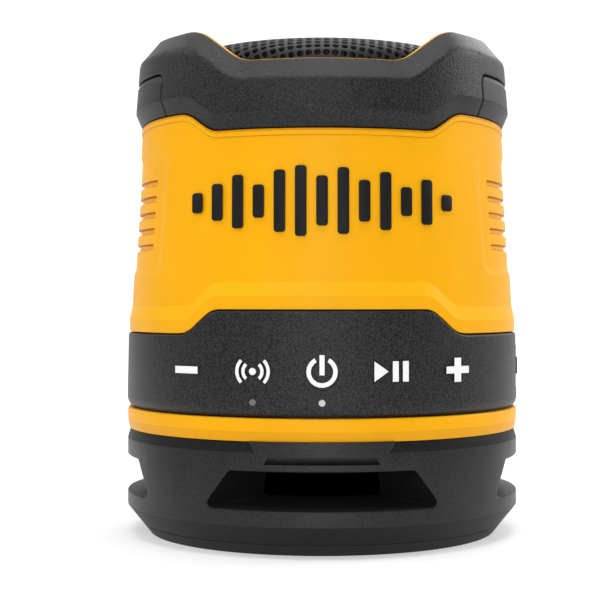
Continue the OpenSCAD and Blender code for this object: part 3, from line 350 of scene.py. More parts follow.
REACH = (0.3, 0.7)
SPECKLE_REACH = (0.4, 0.6)
FINE_DETAIL = 3.0
BROAD_DETAIL = 4.0
BROAD = 40
GLOSS_SPAN = 0.06
METAL_TONES = (0.88, 1.08)
METAL_BROAD = 8
METAL_GLOSS = 0.08
METAL_DEEP = 0.01
WEAVE_TONES = {"Color1": 0.85, "Color2": 1.1, "Mortar": 0.45}
WEAVE_DEEP = 0.08
WEAVE_ROUGH = 0.75


def shader(name, rough, metallic=0.0, specular=0.5):
    """A new material with its principled shader."""
    look = bpy.data.materials.new(name)
    look.use_nodes = True
    node = look.node_tree.nodes["Principled BSDF"]
    node.inputs["Roughness"].default_value = rough
    node.inputs["Metallic"].default_value = metallic
    node.inputs["Specular IOR Level"].default_value = specular
    return look, node


def link(look, source, node, key):
    look.node_tree.links.new(source, node.inputs[key])


def added(look, kind, values, links):
    """A new node of a material, with the values and the sources of its inputs."""
    node = look.node_tree.nodes.new("ShaderNode" + kind)
    for key, value in values.items():
        node.inputs[key].default_value = value
    for key, source in links.items():
        link(look, source, node, key)
    return node


def scaled(colour, share):
    """A share of a colour, opaque."""
    return *(c * share for c in colour), 1


def own_space(look):
    return added(look, "TexCoord", {}, {}).outputs["Object"]


def noise(look, size, detail=2.0):
    """Noise in the object's own space, with features of a size in millimetres."""
    values = {"Scale": 1 / (size * MM), "Detail": detail}
    return added(look, "TexNoise", values, {"Vector": own_space(look)}).outputs[0]


def tinted(look, node, source, colour, dark, light, reach=REACH):
    """Colours a shader between two shares of a colour by a noise."""
    ramp = added(look, "ValToRGB", {}, {"Fac": source})
    for stop, place, share in zip(ramp.color_ramp.elements, reach, (dark, light)):
        stop.position = place
        stop.color = scaled(colour, share)
    tone = ramp.outputs["Color"]
    link(look, tone, node, "Base Color")
    return tone


def uneven(look, node, source, rough, span):
    """Lets the roughness of a shader vary with a noise."""
    values = {"From Min": REACH[0], "From Max": REACH[1], "To Min": rough - span, "To Max": rough + span}
    gloss = added(look, "MapRange", values, {"Value": source})
    link(look, gloss.outputs["Result"], node, "Roughness")


def bumped(look, node, source, depth):
    """Raises a surface by a texture, with the depth in millimetres."""
    bump = added(look, "Bump", {"Distance": depth * MM}, {"Height": source})
    link(look, bump.outputs["Normal"], node, "Normal")


def moulded(name, colour, rough, grain, depth, mottle=0.06, specular=0.5, speckle=0.0):
    """Moulded plastic or rubber: fine grain, slightly uneven tone and gloss."""
    look, node = shader(name, rough, specular=specular)
    fine = noise(look, grain, FINE_DETAIL)
    if speckle:
        tinted(look, node, fine, colour, 1 - speckle, 1 + speckle, SPECKLE_REACH)
    else:
        broad = noise(look, grain * BROAD, BROAD_DETAIL)
        tinted(look, node, broad, colour, 1 - mottle, 1 + mottle)
    uneven(look, node, fine, rough, GLOSS_SPAN)
    bumped(look, node, fine, depth)
    return look


def metal(name, colour, rough, grain, metallic=1.0):
    """Plated or painted metal with a fine uneven gloss."""
    look, node = shader(name, rough, metallic=metallic)
    fine = noise(look, grain, FINE_DETAIL)
    tinted(look, node, fine, colour, *METAL_TONES)
    uneven(look, node, noise(look, grain * METAL_BROAD), rough, METAL_GLOSS)
    bumped(look, node, fine, METAL_DEEP)
    return look


def woven(name, colour, pitch):
    """Resin stiffened cloth: two crossing sets of threads."""
    look, node = shader(name, WEAVE_ROUGH)
    threads = {thread: scaled(colour, tone) for thread, tone in WEAVE_TONES.items()}
    weave = added(look, "TexBrick", {"Scale": 1 / (pitch * MM), **threads}, {"Vector": own_space(look)})
    link(look, weave.outputs["Color"], node, "Base Color")
    bumped(look, node, weave.outputs["Fac"], WEAVE_DEEP)
    return look


def radial(look, start, end):
    """A mask by the distance from the axis: 0 nearer than start, 1 past end."""
    flat = added(look, "VectorMath", {1: (1, 1, 0)}, {0: own_space(look)})
    flat.operation = "MULTIPLY"
    reach = added(look, "VectorMath", {}, {0: flat.outputs["Vector"]})
    reach.operation = "LENGTH"
    values = {"From Min": start * MM, "From Max": end * MM}
    return added(look, "MapRange", values, {"Value": reach.outputs["Value"]}).outputs["Result"]


def dark_within(look, start, end, dark):
    """Turns a material dark nearer to the axis than a radius."""
    tree = look.node_tree
    socket = tree.nodes["Principled BSDF"].inputs["Base Color"]
    mix = tree.nodes.new("ShaderNodeMix")
    mix.data_type = "RGBA"
    mix.inputs["A"].default_value = (*dark, 1)
    tree.links.new(radial(look, start, end), mix.inputs["Factor"])
    tree.links.new(socket.links[0].from_socket, mix.inputs["B"])
    tree.links.new(mix.outputs["Result"], socket)


YELLOW = (0.95, 0.44, 0.004)
# A lighter yellow for a painted highlight on the slope over the skirt, where light from above would fall
SLOPE_HIGHLIGHT_YELLOW = (0.96, 0.475, 0.006)
# Shares of the yellow for painted shade: the lip under the bumper, the grooves' upper flanks and the
# collar's lower facet
SHADE_TURN = 1.3
LIP_SHADE = 0.7
GROOVE_SHADE = 0.45
HEM_SHADE = 0.9
INSIDE = (0.004, 0.004, 0.004)


def shell(name, colour):
    """The yellow plastic in one tone."""
    return moulded(name, colour, rough=0.42, grain=0.35, depth=0.012, mottle=0.02, specular=0.12)


def shaded(share):
    """The yellow in a shade, where light between yellow faces turns it towards orange."""
    return YELLOW[0] * share, YELLOW[1] * share**SHADE_TURN, YELLOW[2]


yellow = shell("yellow_shell", YELLOW)
# painted highlight for the slope over the skirt
painted_highlight_slope = shell("slope_highlight_shell", SLOPE_HIGHLIGHT_YELLOW)
# painted shadow on the lip under the bumper
lip_painted_shade = shell("lip_shade_shell", shaded(LIP_SHADE))
# painted shade on the grooves' upper flanks
groove_painted_shade = shell("groove_shade_shell", shaded(GROOVE_SHADE))
collar_yellow = shell("collar_shell", YELLOW)
# painted shade on the collar's downward facing lower facet
hem_painted_shade = shell("hem_shade_shell", shaded(HEM_SHADE))
# Each finish with its colour, its roughness, and the size and depth of its grain
black_rubber = moulded("bumper_rubber", (0.014, 0.014, 0.0145), 0.44, 0.38, 0.17, specular=0.3, speckle=0.9)
band_rubber = moulded("band_rubber", (0.018, 0.018, 0.0185), 0.44, 0.38, 0.12, specular=0.28, speckle=0.85)
base_plastic = moulded("base_plastic", (0.019, 0.019, 0.0195), 0.42, 0.38, 0.04, specular=0.27, speckle=0.35)
# painted shade for the strip under the collar, the hem and the window sills
painted_shade_black = moulded("painted_shade_plastic", (0.012, 0.012, 0.0122), 0.5, 0.38, 0.04, specular=0.15, speckle=0.35)
# painted shade for the sound ways inside the base
duct_painted_shade = moulded("duct_painted_shade", (0.008, 0.008, 0.008), 0.8, 0.4, 0.03, specular=0.0)
foot_rubber = moulded("foot_rubber", (0.012, 0.012, 0.0125), 0.6, 0.4, 0.03, specular=0.3)
inlay_black = moulded("inlay_black", (0.011, 0.011, 0.0115), 0.5, 0.3, 0.015, specular=0.15)
powder_coat = moulded("grille_coat", (0.022, 0.022, 0.0225), 0.5, 0.18, 0.012, mottle=0.1, specular=0.35)
soft_rubber = moulded("surround_rubber", (0.012, 0.012, 0.012), 0.6, 0.25, 0.01)
spider_cloth = woven("spider_cloth", (0.42, 0.28, 0.09), pitch=0.8)

KEY_PROUD = 0.45
KEY_EDGE = (0.24, 0.2)
KEY_WHITE = (0.97, 0.97, 0.97)
KEY_DIM = 0.96
KEY_SIDE = (0.03, 0.03, 0.031)
KEY_ROUGH = 0.45
KEY_GRAIN = 0.3
KEY_DEEP = 0.008


def key_look(name):
    """White tops on dark rubber: the tone follows the distance from the axis."""
    look, node = shader(name, KEY_ROUGH)
    fine = noise(look, KEY_GRAIN)
    tinted(look, node, fine, KEY_WHITE, KEY_DIM, 1)
    bumped(look, node, fine, KEY_DEEP)
    face_r = band_r(low("key_power").z) + KEY_PROUD
    dark_within(look, face_r - KEY_EDGE[0], face_r - KEY_EDGE[1], KEY_SIDE)
    return look


key_white = key_look("key_mark")


# Yellow housing with its skirt, lip, rim and side grips

SKIRT_H = 3.2
SKIRT_SLOPE = 3.5
SKIRT_OUT = 0.35
LIP_H = 1.8
LIP_STEP = 0.25
LIP_OUT = 0.22
LIP_SHADOW = 0.55
LIP_ROUND = (0.15, 0.12, 0.2)
LIP_LEAD = 1.0
HEM_ROUND = 0.4
SKIRT_ROUND = 0.6
RIM_ROUND = 0.15
RIM_DEEP = 1.0
RIM_PROUD = 0.1
NECK_SLOPE = 1.6
GRIP_RISE = 3.2
GRIP_Z = (Z_WALL + Z_CAP) / 2 + GRIP_RISE
GRIP_HALF = 29.4
GRIP_H = 30.0
GRIP_DEEP = 0.45
GRIP_CORNER = 3.0
GRIP_SOFT = 2.4
GROOVE_N = 5
GROOVE_PITCH = 4.1
GROOVE_H = 1.3
GROOVE_DEEP = 0.75
GROOVE_SOFT = 0.42
FLANK_UP = -0.3
GROOVE_IN = 4.2
GROOVE_HALF = GRIP_HALF - GROOVE_IN
GROOVE_RISE = -0.5
WALL_LOW, WALL_HIGH = Z_WALL + SKIRT_H + SKIRT_SLOPE, Z_CAP - LIP_H
WALL_CLEAR = 0.9
WALL_ROWS = 14
EDGE_ROWS = np.linspace(-1.4, 1.4, 11)
GROOVE_ROWS = np.linspace(-0.95, 0.95, 15)
GRIP_END = GRIP_Z + GRIP_H / 2 + GRIP_SOFT
OUTER_SKIN = 0.5
TURN_STEP = 0.5
# Reach and step of the closer directions at the ends of the recess and of the grooves
RECESS_TURNS = (2.0, 0.25)
GROOVE_TURNS = (0.9, 0.1)


def groove_levels():
    return [GRIP_Z + GROOVE_RISE + (i - (GROOVE_N - 1) / 2) * GROOVE_PITCH for i in range(GROOVE_N)]


def grip_depth(x, y, z):
    """Depth of the grip recess and its grooves on the two sides."""
    depth = GRIP_DEEP * inside(box_distance(y, z - GRIP_Z, GRIP_HALF, GRIP_H / 2, GRIP_CORNER), GRIP_SOFT)
    for level in groove_levels():
        edge = box_distance(y, z - level, GROOVE_HALF, GROOVE_H / 2, GROOVE_H / 2)
        depth = depth + GROOVE_DEEP * inside(edge, GROOVE_SOFT)
    return np.where(abs(x) > BROW[1], depth, 0)


def wall_levels():
    """Levels of the wall's rows, close together at the grip's edges and grooves."""
    levels = list(np.linspace(WALL_LOW, WALL_HIGH, WALL_ROWS)[1:-1])
    for edge in (GRIP_Z - GRIP_H / 2, GRIP_Z + GRIP_H / 2):
        levels += list(edge + EDGE_ROWS)
    for level in groove_levels():
        levels += list(level + GROOVE_ROWS)
    levels = np.unique(np.round(levels, 3))
    return levels[(levels > WALL_LOW + WALL_CLEAR) & (levels < WALL_HIGH - WALL_CLEAR)]


LEVELS = wall_levels()


def wall_rows(s, z_skirt, z_lip):
    """The rows between the skirt and the lip, which stay level over the grip."""
    fixed = (GRIP_END,) if swell(s) > 0 else ()
    return np.interp(LEVELS, (WALL_LOW, *fixed, WALL_HIGH), (z_skirt, *fixed, z_lip))


def housing_section(a):
    s = math.sin(math.radians(a))
    r0 = BODY_R - WALL_IN + SKIRT_OUT
    zh = z_hem(s, r0)
    zi = z_hem(s, BODY_R - WALL_IN - SHELL_T)
    zl = z_low(s, wall_r(Z_CAP))
    zn = z_low(s, NECK_R)
    zr = z_rim(s)
    z_skirt = zh + SKIRT_H + SKIRT_SLOPE
    z_lip = zl - LIP_H
    z_shade = zl - LIP_SHADOW
    rim = RIM_R - SEAT
    low_part = rounded([(wall_r(zi) - SHELL_T, zi, 0), (r0, zh, HEM_ROUND),
                        (r0, zh + SKIRT_H, SKIRT_ROUND), (wall_r(z_skirt), z_skirt, SKIRT_ROUND),
                        (wall_r(z_lip), z_lip, 0)], closed=False)[:-1]
    rows = wall_rows(s, z_skirt, z_lip)
    wall = np.array((wall_r(rows), rows)).T
    high_part = rounded([(wall_r(z_lip - LIP_LEAD), z_lip - LIP_LEAD, 0),
                         (wall_r(z_lip), z_lip, LIP_ROUND[0]),
                         (wall_r(z_lip) + LIP_OUT, z_lip + LIP_STEP, LIP_ROUND[1]),
                         (wall_r(z_shade) + LIP_OUT, z_shade, 0), (wall_r(zl) + LIP_OUT, zl, LIP_ROUND[2]),
                         (NECK_R, zn, 0), (NECK_R, zr - RIM_DEEP - NECK_SLOPE, 0), (rim, zr - RIM_DEEP, 0),
                         (rim, zr + RIM_PROUD, RIM_ROUND), (NECK_IN, zr + RIM_PROUD, RIM_ROUND),
                         (NECK_IN, Z_LEDGE, 0), (wall_r(Z_LEDGE) - SHELL_T, Z_LEDGE, 0)], closed=False)[1:]
    return np.concatenate((low_part, wall, high_part))


def on_lip(x, y, z, up):
    """Whether a face gets the lip's painted shadow: its top under the bumper, or the step under the lip."""
    r = math.hypot(x, y)
    under = z_low(x / r, wall_r(Z_CAP)) - z
    top = under < LIP_SHADOW and r > wall_r(z) + LIP_OUT / 2
    step = up < FLANK_UP and LIP_H - 2 * LIP_STEP < under < LIP_H + LIP_STEP and r > wall_r(z) - LIP_OUT
    return top or step


def on_highlight_slope(x, y, z, up):
    """Whether a face lies on the slope over the skirt, which gets the painted highlight."""
    r = math.hypot(x, y)
    start = z_hem(x / r, BODY_R - WALL_IN + SKIRT_OUT) + SKIRT_H
    return r > wall_r(z) - SHELL_T / 2 and start < z < start + SKIRT_SLOPE


def under_groove(x, y, z, up):
    """Whether a face is the upper flank of a grip groove, which gets a painted shade."""
    near = min(abs(z - level) for level in groove_levels()) < GROOVE_H
    outside = abs(x) > BROW[1] and math.hypot(x, y) > wall_r(z) - SHELL_T / 2 - GRIP_DEEP
    return up < FLANK_UP and near and outside


def make_housing():
    fine = []
    for half, (reach, step) in ((GRIP_HALF, RECESS_TURNS), (GROOVE_HALF, GROOVE_TURNS)):
        end = 90 - math.degrees(math.asin(half / wall_r(GRIP_Z)))
        fine += mirrored(end - reach, end + reach, step)
    turns = every(TURN_STEP, *fine)
    points = round_body(turns, np.array([housing_section(a) for a in turns]))
    x, y, z = np.moveaxis(points, -1, 0)
    r = np.hypot(x, y)
    outer = (r > wall_r(z) - OUTER_SKIN) & (z > Z_WALL + SKIRT_H) & (z < Z_CAP - LIP_H)
    share = 1 - np.where(outer, grip_depth(x, y, z), 0) / r
    points[..., 0] *= share
    points[..., 1] *= share
    obj = placed(solid("housing_shell", *quads(points)), yellow, "housing")
    # Painted shadow: a darker yellow on the lip's top under the bumper and on the step under it
    second_look(obj, lip_painted_shade, on_lip)
    # Painted highlight: the slope over the skirt in a lighter yellow
    second_look(obj, painted_highlight_slope, on_highlight_slope)
    # Painted shade: the grooves' downward facing upper flanks in a darker yellow
    second_look(obj, groove_painted_shade, under_groove)


# Black bumper and the pads in its pockets

FLARE_H = 4.3
FLARE_OUT = 1.85
CAP_R = wall_r(Z_CAP) + FLARE_OUT
LOW_OUT = 0.15
CAP_LOW = wall_r(Z_CAP) + LOW_OUT
CREST_IN = 1.0
CAP_CREST = CAP_R - CREST_IN
CAP_ROUND = 0.7
RIM_BEND = 0.5
RIM_EDGE = (0.35, 0.05)
PAD_HALF = 31.0
PAD_TOP = Z_CAP + 10.8
PAD_GAP = 0.35
PAD_CORNER = 2.5
PAD_EDGE = 0.4
PAD_BEVEL = (0.5, 1.3)
SHADOW = 0.35
POCKET_DEEP = 2.0
POCKET_R = CAP_LOW - POCKET_DEEP
PAD_IN = POCKET_R + PAD_GAP
# Half height of the outline that a pad is the top of
PAD_ROOM = 50.0
PAD_STEPS = 50
BEND_STEPS = 12
BUMPER_ROWS = 26
UPPER_ROWS = 12
RIM_ROWS = 4
EDGE_STEPS = np.array((0.0, 0.03, 0.1, 0.2, 0.3, 0.42))
SIDE_IN = 0.2
SIDE_R = CAP_R - SIDE_IN
SIDE_CLEAR = 0.2


def side_turn(a):
    """Degrees from the middle of the nearer side."""
    return abs(abs((a + 180) % 360 - 180) - 90)


def side_reach(a):
    """Distance along the wall from the middle of the nearer side."""
    return SIDE_R * math.radians(side_turn(a))


def bumper_outside(a):
    """Section of the outer face, from the lower edge to the rim."""
    s = math.sin(math.radians(a))
    zl = z_low(s, CAP_LOW) + SHADOW
    zw = z_low(s, CAP_R) + FLARE_H
    zr = z_rim(s)
    return rounded([(CAP_LOW, zl, 0), (CAP_R, zw, CAP_ROUND), (CAP_CREST, z_crest(s), CAP_ROUND),
                    (RIM_R + RIM_EDGE[0], zr - RIM_EDGE[1], RIM_BEND), (RIM_R, zr, 0)], closed=False)


def corner_top(reach, half, top, corner):
    """Height of an outline with round upper corners, at a distance from its middle."""
    t = np.clip(abs(reach) - half + corner, 0, corner)
    return top - corner + math.sqrt(corner**2 - t**2)


def bumper_section(a):
    """Closed section of the bumper, with the pad's pocket where there is one."""
    s = math.sin(math.radians(a))
    face = bumper_outside(a)
    reach = side_reach(a)
    half, top = PAD_HALF + PAD_GAP, PAD_TOP + PAD_GAP
    z_split = corner_top(min(reach, half), half, top, PAD_CORNER + PAD_GAP)
    lower = np.linspace(face[0][1], z_split, BUMPER_ROWS)
    upper = z_split + EDGE_STEPS
    rest = np.linspace(upper[-1], face[-RIM_ROWS - 1][1], UPPER_ROWS)[1:]
    z = np.concatenate((lower, upper, rest, face[-RIM_ROWS:, 1]))
    r = np.interp(z, face[:, 1], face[:, 0])
    edge = box_distance(reach, z - top + PAD_ROOM, half, PAD_ROOM, PAD_CORNER + PAD_GAP)
    r = r - fillet(np.maximum(edge, 0), PAD_EDGE)
    if reach < half - HAIR:
        r[:BUMPER_ROWS] = POCKET_R
    zr = z_rim(s)
    zn = z_low(s, NECK_R) + SEAT
    neck = NECK_R + SEAT
    inner = [(RIM_R, zr - RIM_DEEP), (neck, zr - RIM_DEEP - NECK_SLOPE), (neck, zn)]
    return np.concatenate((np.array((r, z)).T, inner))


def pad_columns(half, corner):
    """Distances from the middle of a side to a pad's end, closer at its corners."""
    bend = half - corner + corner * np.sin(np.radians(np.linspace(0, 90, BEND_STEPS)))
    return np.unique(np.concatenate((np.linspace(0, half - corner, PAD_STEPS), bend, half - EDGE_STEPS)))


def make_bumper():
    half = PAD_HALF + PAD_GAP
    near = np.concatenate((pad_columns(half - WELD, PAD_CORNER + PAD_GAP), half + EDGE_STEPS))
    near = np.degrees(near / SIDE_R)
    sides = np.concatenate([side + sign * near for side in (90, 270) for sign in (1, -1)])
    turns = [a for a in every(TURN_STEP) if side_turn(a) > near.max() + SIDE_CLEAR]
    turns = np.unique(np.round(np.concatenate((turns, sides)), 6))
    points = round_body(turns, np.array([bumper_section(a) for a in turns]))
    placed(solid("bumper_body", *quads(points)), black_rubber, "top_bumper")


def pad_section(a):
    face = bumper_outside(a)
    reach = side_reach(a)
    z_end = corner_top(min(reach, PAD_HALF), PAD_HALF, PAD_TOP, PAD_CORNER)
    body = np.linspace(face[0][1], z_end - PAD_BEVEL[1], BUMPER_ROWS)
    below = np.array(((PAD_BEVEL[1] + EDGE_STEPS[-1]) / 2, *EDGE_STEPS[::-1]))
    z = np.concatenate((body, z_end - below))
    r = np.interp(z, face[:, 1], face[:, 0])
    r = r - PAD_BEVEL[0] * np.clip(1 - (z_end - z) / PAD_BEVEL[1], 0, 1)
    edge = -box_distance(reach, z - PAD_TOP + PAD_ROOM, PAD_HALF, PAD_ROOM, PAD_CORNER)
    r = r - fillet(np.maximum(edge, 0), PAD_EDGE)
    inner = [(PAD_IN, z_end), (PAD_IN, (z_end + face[0][1]) / 2), (PAD_IN, face[0][1])]
    return np.concatenate((np.array((r, z)).T, inner))


def make_pad(side, name, node):
    reach = pad_columns(PAD_HALF, PAD_CORNER)
    turns = side + np.degrees(np.concatenate((-reach[:0:-1], reach)) / SIDE_R)
    points = round_body(turns, np.array([pad_section(a) for a in turns]))
    placed(solid(name, *capped(points)), black_rubber, node)


# Domed grille with a square grid of holes

HOLE_PITCH = 2.27
HOLE_D = 1.64
HOLE_SIDES = 16
HOLE_SOFT = 0.12
HOLE_LAST = 47.0
SOFT_MID = 0.3
SHEET_T = 0.8
PROFILE_STEPS = 900
APEX = high("grille").z
# Slope of the section in degrees, by the distance along the sheet from its middle
SHEET_SLOPE = ((0, 0), (31.6, 10), (35.1, 16.8), (37.4, 21), (39.7, 27), (41.9, 37), (44.2, 80), (44.8, 90))


def sheet_profile():
    """Distances along the sheet with the radius, height and slope there, upright at its end."""
    s = np.linspace(0, SHEET_SLOPE[-1][0], PROFILE_STEPS)
    slope = np.radians(np.interp(s, *zip(*SHEET_SLOPE)))
    step = s[1] - s[0]
    r = np.concatenate(((0,), np.cumsum(np.cos(slope[1:]) * step)))
    z = np.concatenate(((0,), np.cumsum(-np.sin(slope[1:]) * step)))
    share = GRILLE_R / r[-1]
    return s * share, r * share, APEX + z * share, slope


PROFILE = sheet_profile()
SHEET_EDGE = PROFILE[0][-1] + PROFILE[2][-1] - Z_DECK


def on_sheet(u, v, depth):
    """Points of the sheet at flat positions u and v, and a depth below its outer face."""
    s = np.hypot(u, v)
    along, radius, height, slope = PROFILE
    lean = np.interp(s, along, slope)
    r = np.interp(s, along, radius) - depth * np.sin(lean)
    z = np.interp(s, along, height) - depth * np.cos(lean) - np.maximum(s - along[-1], 0)
    safe = np.maximum(s, HAIR)
    return np.stack((r * u / safe, r * v / safe, z), axis=-1)


def cell_rim(count):
    """Points round the edge of a unit square, count to a side, starting at a corner."""
    t = np.arange(count) / count - 0.5
    half = np.full(count, 0.5)
    sides = ((half, t), (-t, half), (-half, -t), (t, -half))
    return np.concatenate([np.stack(side, axis=1) for side in sides])


def hole_cell(centre, rim):
    """A square of sheet with a round hole in it."""
    turn = np.arctan2(rim[:, 1], rim[:, 0])
    ring = np.array((np.cos(turn), np.sin(turn))).T
    hole = HOLE_D / 2
    mid = HOLE_SOFT * SOFT_MID
    loops = ((rim, 0.0), (ring * (hole + HOLE_SOFT), 0.0), (ring * (hole + mid), mid),
             (ring * hole, HOLE_SOFT), (ring * hole, SHEET_T), (rim, SHEET_T))
    points = [on_sheet(*(loop + centre).T, depth) for loop, depth in loops]
    return quads(np.stack(points, axis=1), wrap_v=False)


def plain_cell(centre, rim):
    """A square of sheet without a hole, cut off at the lower edge."""
    p = rim + centre
    p = p * np.minimum(1, SHEET_EDGE / np.hypot(*p.T))[:, None]
    loop = list(range(len(p)))
    return joined(((on_sheet(*p.T, 0.0), [loop]), (on_sheet(*p.T, SHEET_T), [loop[::-1]])))


def close_edge(obj):
    """Joins the open outer and inner edges of a sheet."""
    bm = bmesh.new()
    bm.from_mesh(obj.data)
    bmesh.ops.bridge_loops(bm, edges=[e for e in bm.edges if e.is_boundary])
    bm.to_mesh(obj.data)
    bm.free()


def make_grille():
    rim = cell_rim(HOLE_SIDES // 4) * HOLE_PITCH
    count = math.ceil(SHEET_EDGE / HOLE_PITCH)
    parts = []
    for i in range(-count, count):
        for j in range(-count, count):
            centre = np.array((i + 0.5, j + 0.5)) * HOLE_PITCH
            nearest = np.hypot(*(rim + centre).T).min()
            if np.hypot(*centre) < HOLE_LAST:
                parts.append(hole_cell(centre, rim))
            elif nearest < SHEET_EDGE:
                parts.append(plain_cell(centre, rim))
    obj = solid("grille_sheet", *joined(parts))
    close_edge(obj)
    placed(obj, powder_coat, "grille")


# Plain level bars on the front

BAR_HEIGHTS = (5, 9, 13, 8, 15, 17, 12, 16, 10, 14, 7, 11, 4)
BAR_W = 2.8
BAR_PITCH = 5.1
BAR_OUT = 0.6
BAR_CORNER = 0.8
BAR_SOFT = 0.18
BAR_SINK = 0.1
BAR_RISE = 0.587
BAR_Z = Z_WALL + (Z_CAP - Z_WALL) * BAR_RISE
SLAB_STEPS = 6


def slab_outline(w, h, corner):
    """Outline of a rectangle with round corners, centred."""
    points = []
    for k, (sx, sy) in enumerate(((1, 1), (-1, 1), (-1, -1), (1, -1))):
        for a in np.radians(90 * k + np.linspace(0, 90, SLAB_STEPS + 1)):
            turn = np.array((math.cos(a), math.sin(a)))
            points.append((sx, sy) * np.array((w / 2 - corner, h / 2 - corner)) + corner * turn)
    return np.array(points)


def bar(x, height):
    """One bar on the leaning wall, with a soft upper edge."""
    loops = []
    mid = BAR_SOFT * SOFT_MID
    edge = ((0, -BAR_SINK), (0, BAR_OUT - BAR_SOFT), (mid, BAR_OUT - mid), (BAR_SOFT, BAR_OUT))
    for inset, out in edge:
        p = slab_outline(BAR_W - 2 * inset, height - 2 * inset, BAR_CORNER - inset) + (x, BAR_Z)
        r = wall_r(p[:, 1]) + out
        loops.append(np.array((p[:, 0], -np.sqrt(r**2 - p[:, 0] ** 2), p[:, 1])).T)
    return capped(np.array(loops))


def make_bars():
    middle = (len(BAR_HEIGHTS) - 1) / 2
    bars = [bar((i - middle) * BAR_PITCH, h) for i, h in enumerate(BAR_HEIGHTS)]
    placed(solid("front_bars", *joined(bars)), inlay_black, "front_inlay")


# Control band with its openings

KEY_PITCH = 16.6
KEY_Z = Z_BAND + 11.2
LIGHT_Z = Z_BAND + 3.8
LIGHT_D = 1.6
USB_Z = Z_BAND + 10.8
COVER_L = 20.0
COVER_H = 11.0
COVER_CORNER = 1.2
SWING_GAP = 0.85
BAND_SLOT = 0.35
BAND_TUCK = (1.0, 0.8)
BAND_ROUND = 0.8
BAND_EDGE = 0.4
BAND_BEND = 10
BAND_TURNS = (28, 45, 0.4)
FINE_STEP = 0.75
# Spans of the cuts through the front wall and the right one
FRONT_Y = (-30.0, -60.0)
POCKET_X = (40.0, 60.0)
# Sizes of the marks on the keys
MARK_T, MARK_L = 1.75, 5.9
RING_R = (2.65, 3.7)
RING_ENDS = (115, 425)
RING_STEPS = 48
RING_DROP = 0.55
STEM_RISE = 1.6
STEM = np.array((1.2, 4.8))
DOT_R = 0.85
DOT_WAVES = ((1.9, 2.7, 48), (3.4, 4.2, 44))
WAVE_GROW = 20
ARROW_X = (-4.15, -0.7)
ARROW_H = 2.45
PAUSE_X = (1, 3.45)
PAUSE = np.array((1.45, 4.9))
ARC_PIECES = 24
DISC_PIECES = 32


def prism(outline, z):
    """A front view outline drawn through the front wall."""
    x, up = outline.T
    return capped(np.array([np.array((x, np.full(len(x), y), up + z)).T for y in FRONT_Y]))


def plate(x, y, w, h):
    """Rectangle outline about a centre."""
    return np.array(((w / 2, h / 2), (-w / 2, h / 2), (-w / 2, -h / 2), (w / 2, -h / 2))) + (x, y)


def arc_outline(r0, r1, start, end, steps=ARC_PIECES):
    """Outline of a piece of a ring between two angles."""
    a = np.radians(np.linspace(start, end, steps + 1))
    outer = np.array((r1 * np.cos(a), r1 * np.sin(a))).T
    inner = np.array((r0 * np.cos(a[::-1]), r0 * np.sin(a[::-1]))).T
    return np.concatenate((outer, inner))


def disc(x, radius):
    a = np.radians(np.arange(DISC_PIECES) * 360 / DISC_PIECES)
    return np.array((x + radius * np.cos(a), radius * np.sin(a))).T


def mark_outlines(g):
    """Openings for the marks by the key's place in the row, each grown by a gap."""
    t, w = MARK_T / 2 + g, MARK_L / 2 + g
    arm = np.array(((t, t), (t, w), (-t, w)))
    cross = np.concatenate((arm, arm[:, ::-1] * (-1, 1), -arm, arm[:, ::-1] * (1, -1)))
    ring = arc_outline(RING_R[0] - g, RING_R[1] + g, *RING_ENDS, RING_STEPS) + (0, -RING_DROP)
    waves = [arc_outline(r0 - g, r1 + g, mid - half - WAVE_GROW * g, mid + half + WAVE_GROW * g)
             for r0, r1, half in DOT_WAVES for mid in (0, 180)]
    tail, tip = ARROW_X[0] - g, ARROW_X[1] + 2 * g
    arrow = np.array(((tail, -ARROW_H - 2 * g), (tip, 0), (tail, ARROW_H + 2 * g)))
    return {
        -2: [plate(0, 0, 2 * w, 2 * t)],
        -1: [disc(0, DOT_R + g)] + waves,
        0: [ring, plate(0, STEM_RISE, *(STEM + 2 * g))],
        1: [arrow] + [plate(x, 0, *(PAUSE + 2 * g)) for x in PAUSE_X],
        2: [cross],
    }


def band_section(a):
    s = math.sin(math.radians(a))
    zo = z_hem(s, BODY_R - BAND_EDGE) - LINE_GAP
    zi = z_hem(s, band_in(Z_WALL)) - LINE_GAP
    tuck = BODY_R - BAND_SOFT[0]
    bend = np.radians(np.linspace(0, 90, BAND_BEND))
    lower = np.stack((BODY_R - BAND_SOFT[0] * (1 - np.sin(bend)),
                      Z_BAND + BAND_SLOT + (BAND_SOFT[1] - BAND_SLOT) * (1 - np.cos(bend))), axis=1)
    slot = [(band_in(Z_BAND), Z_BAND), (tuck - BAND_TUCK[0], Z_BAND),
            (tuck - BAND_TUCK[1], Z_BAND + BAND_SLOT)]
    upper = rounded([(*lower[-1], 0), (band_r(zo), zo, BAND_ROUND), (band_in(zi), zi, 0)], closed=False)[1:]
    return np.concatenate((slot, lower, upper))


def cover_pocket():
    """Opening for the cover, square and longer at the hinge, where the open cover turns."""
    free, hinge = -COVER_L / 2 - RUN_GAP, high("usb_cover").y + SWING_GAP
    top = COVER_H / 2 + RUN_GAP
    corner = COVER_CORNER
    y, z = rounded([(hinge, top, 0), (free, top, corner), (free, -top, corner), (hinge, -top, 0)]).T
    return capped(np.array([np.array((np.full(len(y), x), y, z + USB_Z)).T for x in POCKET_X]))


